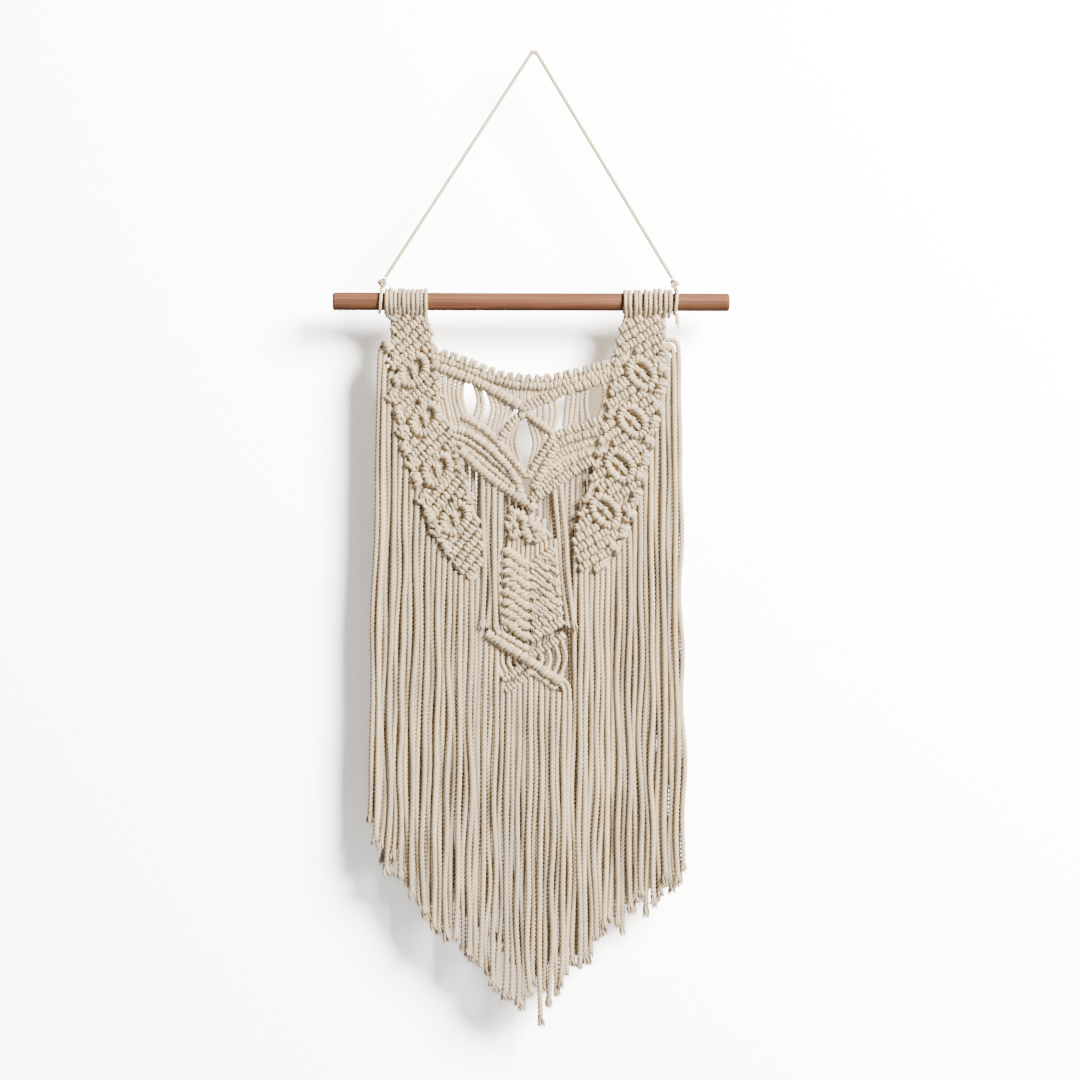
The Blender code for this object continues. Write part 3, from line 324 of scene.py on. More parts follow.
FRINGE = {
    "strands_left_outer": [
        Strand(-116.4, -226.5, -124.2, -583.0), Strand(-113.0, -230.0, -119.8, -598.0),
        Strand(-108.9, -246.0, -115.4, -604.0), Strand(-104.8, -276.0, -111.0, -623.0),
        Strand(-100.7, -292.0, -106.6, -612.0), Strand(-96.6, -306.0, -102.2, -626.0),
        Strand(-92.5, -320.0, -97.8, -631.0), Strand(-88.4, -334.0, -93.4, -640.0),
        Strand(-84.3, -354.0, -89.0, -645.0), Strand(-80.2, -366.0, -84.6, -652.0),
        Strand(-76.1, -370.0, -80.2, -658.0), Strand(-72.0, -379.0, -75.8, -664.0),
        Strand(-67.9, -384.0, -71.4, -668.0), Strand(-63.8, -389.0, -67.0, -672.0),
    ],
    "strands_left_inner": [
        Strand(-59.7, -390.5, -62.6, -664.0), Strand(-55.5, -393.6, -58.2, -672.0),
        Strand(-51.3, -393.6, -53.8, -680.0), Strand(-47.1, -393.6, -49.4, -684.0),
        Strand(-43.0, -396.0, -46.6, -688.0),
    ],
    "strands_left_net": [
        Strand(-34.6, -322.8, -34.6, -436.8), Strand(-30.2, -326.4, -30.2, -438.2),
        Strand(-25.8, -329.6, -25.8, -438.0), Strand(-38.8, -318.0, -38.8, -437.0),
    ],
    "strand_right_net": [Strand(15.2, -328.6, 24.6, -436.6), Strand(20.0, -324.0, 28.6, -438.0)],
    "strands_centre": [
        Strand(-40.6, -430.0, -44.6, -690.0), Strand(-36.4, -440.6, -40.2, -694.0),
        Strand(-32.2, -442.6, -35.8, -698.0), Strand(-28.0, -446.0, -31.4, -707.0),
        Strand(-23.8, -474.0, -27.0, -712.0), Strand(-19.6, -480.4, -22.6, -716.0),
        Strand(-15.4, -478.4, -18.2, -719.0), Strand(-11.2, -474.0, -13.8, -723.0),
        Strand(-7.0, -471.6, -9.4, -724.0), Strand(-2.8, -470.4, -5.0, -716.0),
        Strand(1.4, -471.0, -0.6, -706.0), Strand(5.6, -474.0, 4.0, -736.0),
        Strand(9.8, -477.6, 8.6, -712.0), Strand(14.0, -480.2, 13.2, -722.0),
        Strand(22.8, -488.2, 20.6, -708.0), Strand(26.8, -488.2, 25.0, -700.0),
        Strand(18.4, -482.0, 17.0, -715.0),
    ],
    "strands_right_inner": [
        Strand(31.2, -376.6, 29.4, -692.0), Strand(35.3, -385.0, 33.6, -694.0),
        Strand(39.4, -388.0, 37.8, -689.0), Strand(43.5, -388.0, 42.0, -684.0),
        Strand(47.6, -388.0, 46.2, -672.0), Strand(51.7, -387.0, 50.4, -670.0),
        Strand(55.8, -383.6, 54.6, -664.0), Strand(59.9, -379.6, 58.8, -660.0),
        Strand(64.0, -376.6, 63.0, -662.0),
    ],
    "strands_right_outer": [
        Strand(68.1, -371.4, 67.2, -668.0), Strand(72.2, -362.0, 71.6, -650.0),
        Strand(76.3, -350.0, 76.0, -643.0), Strand(80.4, -334.0, 80.6, -641.0),
        Strand(84.5, -316.0, 85.2, -654.0), Strand(88.6, -296.0, 89.8, -646.0),
        Strand(92.7, -274.0, 94.6, -640.0), Strand(97.0, -248.0, 99.4, -628.0),
        Strand(101.4, -230.0, 104.2, -637.0), Strand(105.8, -226.0, 109.0, -630.0),
        Strand(109.6, -222.0, 113.4, -622.0),
    ],
    "strands_back": [
        Strand(-96.0, -300.0, -97.0, -600.0), Strand(-86.0, -310.0, -87.0, -618.0),
        Strand(-76.0, -316.0, -77.0, -632.0), Strand(-66.0, -318.0, -66.6, -640.0),
        Strand(-56.0, -308.0, -56.4, -650.0), Strand(-46.0, -306.0, -46.2, -660.0),
        Strand(-36.0, -313.0, -36.2, -668.0), Strand(-26.0, -322.0, -26.2, -676.0),
        Strand(-16.0, -330.0, -16.2, -690.0), Strand(-6.0, -338.0, -6.2, -696.0),
        Strand(4.0, -331.0, 3.8, -700.0), Strand(13.0, -324.0, 12.8, -690.0),
        Strand(21.0, -317.0, 20.6, -684.0), Strand(29.0, -311.0, 28.6, -676.0),
        Strand(38.0, -307.0, 37.6, -668.0), Strand(48.0, -303.0, 47.6, -654.0),
        Strand(58.0, -308.0, 57.6, -646.0), Strand(68.0, -314.0, 67.6, -640.0),
        Strand(78.0, -320.0, 78.0, -628.0), Strand(88.0, -324.0, 88.4, -622.0),
        Strand(94.0, -318.0, 95.4, -620.0), Strand(100.0, -300.0, 102.0, -618.0),
        Strand(105.6, -286.0, 108.2, -612.0),
    ],
}
SECOND_LAYER = ("strands_left_outer", "strands_right_outer", "strands_right_inner")
# Strands made one by one, each an object of its own; the others of each comb hang among them
FREE_STRANDS = {
    "strands_left_outer": (0, 2, 4, 6, 8, 10, 12, 13),
    "strands_left_inner": (0, 1, 2, 3),
    "strands_centre": (0, 2, 3, 5, 6, 7, 8, 11, 13, 14, 15),
    "strands_right_inner": (0, 1, 3, 5, 7, 8),
    "strands_right_outer": (0, 2, 4, 6, 7, 8, 9, 10),
}


# Curves and cords


def laid(places, step):
    """Evenly spaced points along a smooth curve through these places."""
    places = np.array(places, float)
    held = np.vstack([2 * places[0] - places[1], places, 2 * places[-1] - places[-2]])
    t = np.linspace(0.0, 1.0, 13)[:-1, None]
    spans = []
    for a, b, c, d in zip(held, held[1:], held[2:], held[3:]):
        curve = 2 * b + (c - a) * t + (2 * a - 5 * b + 4 * c - d) * t**2
        spans.append((curve + (3 * b - a - 3 * c + d) * t**3) / 2)
    curve = np.vstack([*spans, places[-1:]])
    reach = np.concatenate([[0.0], np.cumsum(np.linalg.norm(np.diff(curve, axis=0), axis=1))])
    marks = np.linspace(0.0, reach[-1], max(2, round(reach[-1] / step) + 1))
    return np.stack([np.interp(marks, reach, curve[:, axis]) for axis in range(3)], axis=1)


def unit(vectors):
    return vectors / np.linalg.norm(vectors, axis=-1, keepdims=True)


def upright(places, middle):
    """Places (x, z) on the layer at this depth."""
    return [(x, middle, z) for x, z in places]


class Yarn:
    """Gathers lengths of three-ply cord into one mesh."""

    def __init__(self, seed, looseness=0.14):
        self.rng = np.random.default_rng(seed)
        self.looseness = looseness
        self.points, self.quads, self.lay, self.tone, self.valley = [], [], [], [], []
        self.count = 0

    def add(self, rings, along, tone, valley, closed):
        """Skins sets of rings, shaped (pieces, rings, sides, 3), that follow the plies."""
        pieces, count, sides, _ = rings.shape
        index = self.count + np.arange(pieces * count * sides).reshape(pieces, count, sides)
        near, far = (index, np.roll(index, -1, 1)) if closed else (index[:, :-1], index[:, 1:])
        quads = np.stack([near, np.roll(near, -1, 2), np.roll(far, -1, 2), far], axis=-1)
        u1, u2 = along[:, :-1, None], along[:, 1:, None]
        v1 = np.arange(sides)[None, None, :] / sides
        u1, u2, v1 = np.broadcast_arrays(u1, u2, v1)
        v2 = v1 + 1.0 / sides
        lay = np.stack([u1, v1, u1, v2, u2, v2, u2, v1], axis=-1)
        self.points.append(rings.reshape(-1, 3))
        self.quads.append(quads.reshape(-1, 4))
        self.lay.append(lay.reshape(-1, 2))
        self.tone.append(np.broadcast_to(tone[:, None, None], index.shape).reshape(-1))
        # This mask marks the vertices in the grooves between the plies, where the cotton's colour is
        # darkened as painted shade
        self.valley.append(np.broadcast_to(valley, index.shape).reshape(-1))
        self.count += pieces * count * sides

    def cord(self, path, radius, lay=8.6, groove=0.26, plies=3, toward=BACK):
        """One length of cord along the points, in millimetres; radius is one number or one a point."""
        along = unit(np.gradient(path, axis=0))
        first = unit(toward - (along @ toward)[:, None] * along)
        second = np.cross(along, first)
        reach = np.concatenate([[0.0], np.cumsum(np.linalg.norm(np.diff(path, axis=0), axis=1))])
        sides = plies * 2
        start = self.rng.uniform(0, 2 * math.pi)
        roll = 2 * math.pi * (np.arange(sides)[None, :] / sides + reach[:, None] / lay) + start
        dip = np.arange(sides) % 2
        groove = np.broadcast_to(np.asarray(groove, float).reshape(-1, 1), (len(path), 1))
        size = np.broadcast_to(np.asarray(radius, float), (len(path),))[:, None] * (1 - groove * dip)
        rings = path[:, None] + size[..., None] * (
            np.cos(roll)[..., None] * first[:, None] + np.sin(roll)[..., None] * second[:, None]
        )
        tone = np.array([self.rng.uniform()])
        self.add(rings[None], reach[None] * MM, tone, dip[None, None, :] * 1.0, False)

    def loops(self, centres, axis, across, half_width, half_depth, radius, slant=0.0, steps=14, turns=5):
        """Rounds of cord wrapped side by side; each stands square to the axis, but for its slant."""
        count = len(centres)
        turn = np.arange(steps) * 2 * math.pi / steps
        spread = self.rng.normal(1.0, 0.05, (count, 1))
        wide = half_width * spread * np.cos(turn)
        thick = half_depth * self.rng.normal(1.0, 0.05, (count, 1)) * np.sin(turn)
        lean = np.tan(np.broadcast_to(np.asarray(slant, float), (count,)))[:, None] * wide
        nudge = self.rng.normal(0.0, self.looseness, (count, 1, 3))
        middle = centres[:, None] + nudge + wide[..., None] * across[:, None]
        middle = middle + thick[..., None] * BACK
        middle = middle + lean[..., None] * axis[:, None]
        along = unit(np.roll(middle, -1, 1) - np.roll(middle, 1, 1))
        axis = axis[:, None]
        first = unit(axis - np.sum(axis * along, axis=-1, keepdims=True) * along)
        second = np.cross(along, first)
        sides = 6
        dip = np.arange(sides) % 2
        start = self.rng.uniform(0, 2 * math.pi, (count, 1, 1))
        roll = 2 * math.pi * np.arange(sides) / sides + start + turn[None, :, None] * turns / 3
        swell = radius * self.rng.normal(1.02, 0.05, (count, 1, 1)) * (1 - 0.28 * dip)
        rings = middle[:, :, None] + swell[..., None] * (
            np.cos(roll)[..., None] * first[:, :, None] + np.sin(roll)[..., None] * second[:, :, None]
        )
        round_length = math.pi * (half_width + half_depth) * MM
        reach = np.broadcast_to(np.linspace(0.0, round_length, steps + 1), (count, steps + 1))
        reach = reach + self.rng.uniform(0, 1, (count, 1))
        self.add(rings, reach, self.rng.uniform(size=count), dip[None, None, :] * 1.0, True)

    def hitch_row(self, places, middle, kind, slant=SLANT["left"]):
        """Half hitches side by side along a holding cord, in pairs as each cord ties two."""
        width, depth, pitch = HITCHING[kind]
        path = laid(upright(places, middle), pitch)
        along = unit(np.gradient(path, axis=0))
        across = unit(np.cross(along, BACK))
        pairs = np.where(np.arange(len(path)) % 2, -1.0, 1.0)[:, None] * 0.08 * pitch
        radius = pitch * 0.64
        lean = slant * self.rng.normal(1.0, 0.35, len(path))
        centres = path + along * pairs
        self.loops(centres, along, across, width / 2 - radius, depth / 2 - radius, radius, lean)
        self.cord(laid(upright(places, middle), 2.2), min(width / 2 - 1.6, 2.2))

    def square_knot(self, x, z, middle, size, angle, depth):
        """One square knot: three tight wraps whose slants cross, round its core cords."""
        core = np.array((math.sin(angle), 0.0, math.cos(angle)))
        across = np.array((math.cos(angle), 0.0, -math.sin(angle)))
        radius = size * 0.235
        shift = np.array((-1.0, 0.0, 1.0))[:, None] * size * 0.30
        centres = np.array((x, middle, z)) + shift * core
        three = (3, 1)
        lean = np.array((0.42, -0.36, 0.42)) * self.rng.normal(1.0, 0.2, 3)
        self.loops(centres, np.tile(core, three), np.tile(across, three), size * 0.5 - radius,
                   depth / 2 - radius, radius, lean)

    def frayed_end(self, place, heading, radius):
        """The cut end of a cord: a brush of yarns that comes apart, with loose fibres round it."""
        side = unit(np.cross(heading, BACK))
        front = np.cross(side, heading)
        start = self.rng.uniform(0, 2 * math.pi)
        reach = self.rng.uniform(0.6, 1.0) * FRAY
        t = np.linspace(0.0, 1.0, 7)[:, None]
        for i in range(BRUSH_YARNS + 1):
            outer = i < BRUSH_YARNS
            wide = self.rng.uniform(0.25, 1.0) if outer else 0.0
            opening = start + i * 2 * math.pi / BRUSH_YARNS + t * self.rng.uniform(0.6, 1.5)
            spread = radius * (0.50 if outer else 0.0) + radius * wide * t**1.2
            path = place - heading * 2.0 + heading * (2.0 + reach * self.rng.uniform(0.55, 1.0)) * t
            path = path + spread * (np.cos(opening) * side + np.sin(opening) * front)
            size = radius * np.array((0.40, 0.43, 0.45, 0.46, 0.44, 0.36, 0.12))
            self.cord(path, size, lay=5.0, groove=0.2, plies=2)
        for _ in range(LOOSE_FIBRES):
            opening = self.rng.uniform(0, 2 * math.pi)
            out = math.cos(opening) * side + math.sin(opening) * front
            begin = place + heading * self.rng.uniform(0.0, reach * 0.8) + out * radius * 0.7
            bend = self.rng.normal(0.0, 0.5, 3)
            tip = begin + heading * self.rng.uniform(2.0, 5.0) + out * self.rng.uniform(0.3, 1.8)
            path = laid([begin, (begin + tip) / 2 + bend, tip], 1.6)
            self.cord(path, np.linspace(0.16, 0.05, len(path)), lay=50.0, groove=0.0, plies=2)

    def object(self, name, material, node):
        """The mesh as a shown piece that stands for this CAD node."""
        mesh = bpy.data.meshes.new(name)
        points, quads = np.vstack(self.points) * MM, np.vstack(self.quads)
        mesh.vertices.add(len(points))
        mesh.vertices.foreach_set("co", points.astype(np.float32).ravel())
        mesh.loops.add(quads.size)
        mesh.loops.foreach_set("vertex_index", quads.astype(np.int32).ravel())
        mesh.polygons.add(len(quads))
        mesh.polygons.foreach_set("loop_start", np.arange(0, quads.size, 4, dtype=np.int32))
        mesh.polygons.foreach_set("use_smooth", np.ones(len(quads), bool))
        mesh.update(calc_edges=True)
        layer = mesh.uv_layers.new(name="Lay")
        layer.data.foreach_set("uv", np.vstack(self.lay).astype(np.float32).ravel())
        for label, values in (("tone", self.tone), ("valley", self.valley)):
            attribute = mesh.attributes.new(label, "FLOAT", "POINT")
            attribute.data.foreach_set("value", np.concatenate(values).astype(np.float32))
        obj = bpy.data.objects.new(name, mesh)
        bpy.context.scene.collection.objects.link(obj)
        return dressed(obj, material, node)


def dressed(obj, material, node):
    """Gives a piece its material, hangs it under the root body and hides the CAD node it stands for."""
    obj.data.materials.append(material)
    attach(obj, "root")
    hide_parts(node)
    return obj


# Materials


class Nodes:
    """A short way to add and join shader nodes."""

    def __init__(self, tree):
        self.tree = tree

    def parts_of(self, vector):
        """The X, Y and Z sockets of a vector."""
        node = self.tree.nodes.new("ShaderNodeSeparateXYZ")
        self.put(node.inputs[0], vector)
        return node.outputs

    def put(self, socket, value):
        if isinstance(value, bpy.types.NodeSocket):
            self.tree.links.new(value, socket)
        else:
            socket.default_value = value

    def math(self, operation, a, b=0.0):
        node = self.tree.nodes.new("ShaderNodeMath")
        node.operation = operation
        for socket, value in zip(node.inputs, (a, b)):
            self.put(socket, value)
        return node.outputs[0]

    def mix(self, amount, a, b):
        node = self.tree.nodes.new("ShaderNodeMix")
        node.data_type = "RGBA"
        self.put(node.inputs[0], amount)
        self.put(node.inputs[6], a)
        self.put(node.inputs[7], b)
        return node.outputs[2]

    def spread(self, value, low, high, to_low=0.0, to_high=1.0):
        node = self.tree.nodes.new("ShaderNodeMapRange")
        for socket, given in zip(node.inputs, (value, low, high, to_low, to_high)):
            self.put(socket, given)
        return node.outputs[0]

    def noise(self, vector, scale, detail=3.0, roughness=0.55):
        node = self.tree.nodes.new("ShaderNodeTexNoise")
        self.put(node.inputs["Vector"], vector)
        node.inputs["Scale"].default_value = scale
        node.inputs["Detail"].default_value = detail
        node.inputs["Roughness"].default_value = roughness
        return node.outputs[0]

    def stretched(self, vector, x, y, z):
        node = self.tree.nodes.new("ShaderNodeMapping")
        self.put(node.inputs["Vector"], vector)
        node.inputs["Scale"].default_value = (x, y, z)
        return node.outputs[0]

    def attribute(self, name):
        node = self.tree.nodes.new("ShaderNodeAttribute")
        node.attribute_name = name
        return node.outputs["Fac"]


def cotton_group():
    """Spun cotton: fibres along the cord, painted shade in the grooves between the plies, each cord a
    little its own.
    """
    name = "spun cotton"
    if name in bpy.data.node_groups:
        return bpy.data.node_groups[name]
    tree = bpy.data.node_groups.new(name, "ShaderNodeTree")
    # The Shade input is the colour of the painted shade between the plies, and also of the darker fibres
    # and cords
    sockets = (
        ("Cotton", "INPUT", "Color"), ("Shade", "INPUT", "Color"), ("Fibre Count", "INPUT", "Float"),
        ("Ply Shade", "INPUT", "Float"), ("Colour", "OUTPUT", "Color"), ("Roughness", "OUTPUT", "Float"),
        ("Height", "OUTPUT", "Float"),
    )
    for label, way, kind in sockets:
        tree.interface.new_socket(name=label, in_out=way, socket_type="NodeSocket" + kind)
    n = Nodes(tree)
    given = tree.nodes.new("NodeGroupInput")
    result = tree.nodes.new("NodeGroupOutput")
    lay = tree.nodes.new("ShaderNodeUVMap")
    lay.uv_map = "Lay"
    length, girth, _ = n.parts_of(lay.outputs[0])
    slope = n.math("ADD", girth, n.math("MULTIPLY", length, 60.0))
    joined = tree.nodes.new("ShaderNodeCombineXYZ")
    n.put(joined.inputs[0], n.math("MULTIPLY", length, 520.0))
    n.put(joined.inputs[1], n.math("MULTIPLY", slope, given.outputs["Fibre Count"]))
    n.put(joined.inputs[2], n.math("MULTIPLY", n.attribute("tone"), 40.0))
    fibres = n.noise(joined.outputs[0], 1.0, 4.0, 0.62)
    place = tree.nodes.new("ShaderNodeTexCoord").outputs["Object"]
    patches = n.noise(place, 34.0, 2.0)
    fuzz = n.noise(place, 2600.0, 2.0, 0.7)
    tone = n.spread(n.attribute("tone"), 0.0, 1.0, -0.18, 0.26)
    # Painted shade: the grooves between the plies are darkened in the colour itself, by the ply shade
    # strength; the fibre streaks, patches and each cord's tone added on the next lines are the cotton's
    # own colour
    dark = n.math("MULTIPLY", n.attribute("valley"), given.outputs["Ply Shade"])
    dark = n.math("ADD", dark, n.spread(fibres, 0.62, 0.30, 0.0, 0.34))
    dark = n.math("ADD", dark, n.spread(patches, 0.35, 0.70, -0.08, 0.16))
    dark = n.math("ADD", dark, tone)
    dark = n.math("MINIMUM", n.math("MAXIMUM", dark, 0.0), 1.0)
    n.put(result.inputs["Colour"], n.mix(dark, given.outputs["Cotton"], given.outputs["Shade"]))
    n.put(result.inputs["Roughness"], n.spread(fibres, 0.3, 0.7, 0.96, 0.80))
    n.put(result.inputs["Height"], n.math("ADD", fibres, n.math("MULTIPLY", fuzz, 0.45)))
    return tree


def cotton(name, settings, fibres=70.0, painted_ply_shade=0.62):
    """A cotton finish with its own values of the shared spun cotton."""
    if name in bpy.data.materials:
        return bpy.data.materials[name]
    material = bpy.data.materials.new(name)
    material.use_nodes = True
    tree = material.node_tree
    shader = tree.nodes["Principled BSDF"]
    n = Nodes(tree)
    group = tree.nodes.new("ShaderNodeGroup")
    group.node_tree = cotton_group()
    group.inputs["Cotton"].default_value = (*settings.cotton_colour, 1.0)
    group.inputs["Shade"].default_value = (*settings.painted_shade_and_fibre_colour, 1.0)
    group.inputs["Fibre Count"].default_value = fibres
    group.inputs["Ply Shade"].default_value = painted_ply_shade
    bump = tree.nodes.new("ShaderNodeBump")
    bump.inputs["Strength"].default_value = settings.fibre_relief
    bump.inputs["Distance"].default_value = 0.00035
    n.put(bump.inputs["Height"], group.outputs["Height"])
    n.put(shader.inputs["Normal"], bump.outputs[0])
    n.put(shader.inputs["Base Color"], group.outputs["Colour"])
    n.put(shader.inputs["Roughness"], group.outputs["Roughness"])
    shader.inputs["Sheen Weight"].default_value = 0.35
    shader.inputs["Sheen Roughness"].default_value = 0.55
    shader.inputs["Specular IOR Level"].default_value = 0.25
    return material


def knotting_cotton(context):
    """The cotton of every knot and row between the dowel and the fringe."""
    return cotton("knotting cotton", context.scene.macrame_cotton)


def dowel_wood(settings):
    """Light reddish hardwood: long fine grain, short flecks, and rings on the cut ends."""
    material = bpy.data.materials.new("oiled beech")
    material.use_nodes = True
    tree = material.node_tree
    shader = tree.nodes["Principled BSDF"]
    n = Nodes(tree)
    place = tree.nodes.new("ShaderNodeTexCoord").outputs["Object"]
    wander = n.noise(n.stretched(place, 5.0, 30.0, 30.0), 1.0, 2.0)
    bands = n.noise(n.stretched(place, 7.0, 420.0, 420.0), 1.0, 5.0, 0.7)
    lines = n.noise(n.stretched(place, 16.0, 1100.0, 1100.0), 1.0, 3.0, 0.65)
    flecks = n.noise(n.stretched(place, 240.0, 2400.0, 2400.0), 1.0, 1.0)
    light = (*settings.wood_colour, 1.0)
    dark = (*settings.grain_colour, 1.0)
    colour = n.mix(n.spread(bands, 0.40, 0.60), light, dark)
    colour = n.mix(n.spread(lines, 0.44, 0.58, 0.0, 0.85), colour, dark)
    colour = n.mix(n.spread(flecks, 0.60, 0.72, 0.0, 0.6), colour, FLECK_COLOUR)
    colour = n.mix(n.spread(wander, 0.35, 0.65, 0.0, 0.35), colour, PATCH_COLOUR)
    facing = n.parts_of(tree.nodes.new("ShaderNodeNewGeometry").outputs["Normal"])
    cut = n.spread(n.math("ABSOLUTE", facing[0]), 0.75, 0.95)
    rings = tree.nodes.new("ShaderNodeTexWave")
    rings.wave_type = "RINGS"
    rings.rings_direction = "X"
    rings.inputs["Scale"].default_value = 170.0
    rings.inputs["Distortion"].default_value = 2.5
    n.put(rings.inputs["Vector"], place)
    end_colour = n.mix(rings.outputs["Fac"], END_RING_COLOUR, END_WOOD_COLOUR)
    n.put(shader.inputs["Base Color"], n.mix(cut, colour, end_colour))
    n.put(shader.inputs["Roughness"], n.spread(lines, 0.3, 0.7, 0.58, 0.78))
    bump = tree.nodes.new("ShaderNodeBump")
    bump.inputs["Strength"].default_value = 0.25
    bump.inputs["Distance"].default_value = 0.0002
    n.put(bump.inputs["Height"], n.math("SUBTRACT", 1.0, n.math("MULTIPLY", lines, flecks)))
    n.put(shader.inputs["Normal"], bump.outputs[0])
    shader.inputs["Specular IOR Level"].default_value = 0.22
    return material


# Settings


class MacrameCottonSettings(bpy.types.PropertyGroup):
    cotton_colour: bpy.props.FloatVectorProperty(
        name="Cotton", description="Colour of the natural cotton", subtype="COLOR",
        size=3, min=0.0, max=1.0, default=(0.670, 0.500, 0.276))
    # Painted shade: this colour darkens the grooves between the plies; it is also the colour of the darker
    # fibres and cords
    painted_shade_and_fibre_colour: bpy.props.FloatVectorProperty(
        name="Cotton Shade", description="Colour between the plies and in the darker fibres",
        subtype="COLOR", size=3, min=0.0, max=1.0, default=(0.295, 0.235, 0.163))
    fibre_relief: bpy.props.FloatProperty(
        name="Fibre Relief", description="How far single fibres stand out", default=0.55, min=0.0, max=1.0)
    cord: bpy.props.FloatProperty(
        name="Strand", description="Diameter of a hanging strand", default=0.0047,
        unit="LENGTH", subtype="DISTANCE", min=0.002, max=0.008)
    hanger: bpy.props.FloatProperty(
        name="Hanging Cord", description="Diameter of the hanging cord", default=0.003,
        unit="LENGTH", subtype="DISTANCE", min=0.001, max=0.006)
    lay: bpy.props.FloatProperty(
        name="Lay", description="Length in which a ply goes once round the cord", default=0.0094,
        unit="LENGTH", subtype="DISTANCE", min=0.004, max=0.02)
    sway: bpy.props.FloatProperty(
        name="Sway", description="How far a hanging strand wanders sideways", default=0.0008,
        unit="LENGTH", subtype="DISTANCE", min=0.0, max=0.003)


class MacrameDowelSettings(bpy.types.PropertyGroup):
    radius: bpy.props.FloatProperty(
        name="Radius", description="Radius of the dowel", default=0.00675,
        unit="LENGTH", subtype="DISTANCE", min=0.003, max=0.02)
    edge: bpy.props.FloatProperty(
        name="End Rounding", description="Rounding of the dowel's ends", default=0.0016,
        unit="LENGTH", subtype="DISTANCE", min=0.0, max=0.004)
    wood_colour: bpy.props.FloatVectorProperty(
        name="Wood", description="Colour of the light grain", subtype="COLOR",
        size=3, min=0.0, max=1.0, default=(0.165, 0.063, 0.027))
    grain_colour: bpy.props.FloatVectorProperty(
        name="Grain", description="Colour of the dark grain", subtype="COLOR",
        size=3, min=0.0, max=1.0, default=(0.070, 0.024, 0.010))


class MacrameStageSettings(bpy.types.PropertyGroup):
    wall_gap: bpy.props.FloatProperty(
        name="Wall", description="Distance from the hook's line to the wall", default=0.034,
        unit="LENGTH", subtype="DISTANCE", min=0.011, max=0.2)
    key_power: bpy.props.FloatProperty(
        name="Key Light", description="Power of the light from the upper right", default=510.0,
        min=0.0, max=2000.0)
    fill_power: bpy.props.FloatProperty(
        name="Fill Light", description="Power of the wide light in front", default=2.0,
        min=0.0, max=2000.0)
    back_power: bpy.props.FloatProperty(
        name="Back Light", description="Power of the light behind the wall, for the hanging's back",
        default=75.0, min=0.0, max=2000.0)
    surround: bpy.props.FloatProperty(
        name="Surround", description="Brightness of the room", default=0.028, min=0.0, max=5.0)
    # Painted light: the gain by which the camera sees the wall's colour raised, as if the wall were lit
    # more strongly
    painted_wall_light: bpy.props.FloatProperty(
        name="Painted Wall Light", description="How far the wall is over-lit, as a studio backdrop is", default=3.0,
        min=1.0, max=5.0)
    wall_colour: bpy.props.FloatVectorProperty(
        name="Wall Colour", description="Colour of the wall and the floor", subtype="COLOR",
        size=3, min=0.0, max=1.0, default=(0.93, 0.93, 0.93))


# Pieces


def strap_edges(side, height):
    """The strap's outer and inner edge at a height."""
    rows = STRAP_ROWS[side]
    heights = [-row.height for row in rows]
    outer = np.interp(-height, heights, [row.outer for row in rows])
    inner = np.interp(-height, heights, [row.inner for row in rows])
    return float(outer), float(inner)


def in_diamond(x, z, side, spare):
    """Whether a place is on one of the strap's diamonds, or this near to it."""
    lean = DIAMOND_LEAN[side]
    for cx, cz in DIAMONDS[side]:
        up = z - cz
        out = x - cx - lean * up
        if (abs(out) / (12.4 + spare)) ** 1.6 + (abs(up) / (14.4 + spare)) ** 1.6 < 1.0:
            return True
    return False


def tie_diamond(yarn, cx, cz, lean, middle):
    """A ring of half hitches round crossed cords that leave two small eyes."""
    places = []
    for i in range(17):
        turn = 2 * math.pi * i / 16
        out = math.copysign(abs(math.cos(turn)) ** 1.18, math.cos(turn)) * RING_HALF_WIDTH
        up = math.copysign(abs(math.sin(turn)) ** 1.18, math.sin(turn)) * RING_HALF_HEIGHT
        places.append((cx + out + lean * up, cz + up))
    yarn.hitch_row(places, middle - 0.6, "ring")
    for shift in (-1.5, 1.5):
        for way in (-1, 1):
            ends = [(shift - 4.6 * way, 6.4), (shift * 0.5, 0.0), (shift + 4.6 * way, -6.4)]
            ends = [(cx + out + lean * up, cz + up) for out, up in ends]
            yarn.cord(laid(upright(ends, middle + 0.4 - way * 0.7), 1.1), 1.6)
    yarn.square_knot(cx, cz, middle - 0.2, 5.0, 0.3 * lean, 6.0)


def tie_strap(yarn, side):
    """One shoulder of the hanging: diamonds, slanting rows and edge knots on its backing cords."""
    middle, backing = STRAP_MIDDLE[side], STRAP_BACKING[side]
    rows = STRAP_ROWS[side]
    lean = DIAMOND_LEAN[side]
    for k in range(STRAP_CORDS):
        share = (k + 0.5) / STRAP_CORDS
        path = []
        for row in rows:
            inward = STRAP_INSET if row.inner > row.outer else -STRAP_INSET
            outer, inner = row.outer + inward, row.inner - inward
            path.append((outer + (inner - outer) * share, backing + 0.5 * (k % 2), row.height))
        path[0] = (path[0][0], 0.0, SLEEVE_FOOT)
        yarn.cord(laid(path, 1.3), STRAP_CORD_RADIUS)
    for cx, cz in DIAMONDS[side]:
        tie_diamond(yarn, cx, cz, lean, middle)
    slanting_rows(yarn, side, middle)
    for i, (x, z) in enumerate(BERRIES[side]):
        turn = (0.9 if i % 2 else -0.35) * lean / 0.3
        yarn.square_knot(x, z, middle - 0.4, 9.4, turn, 8.6)


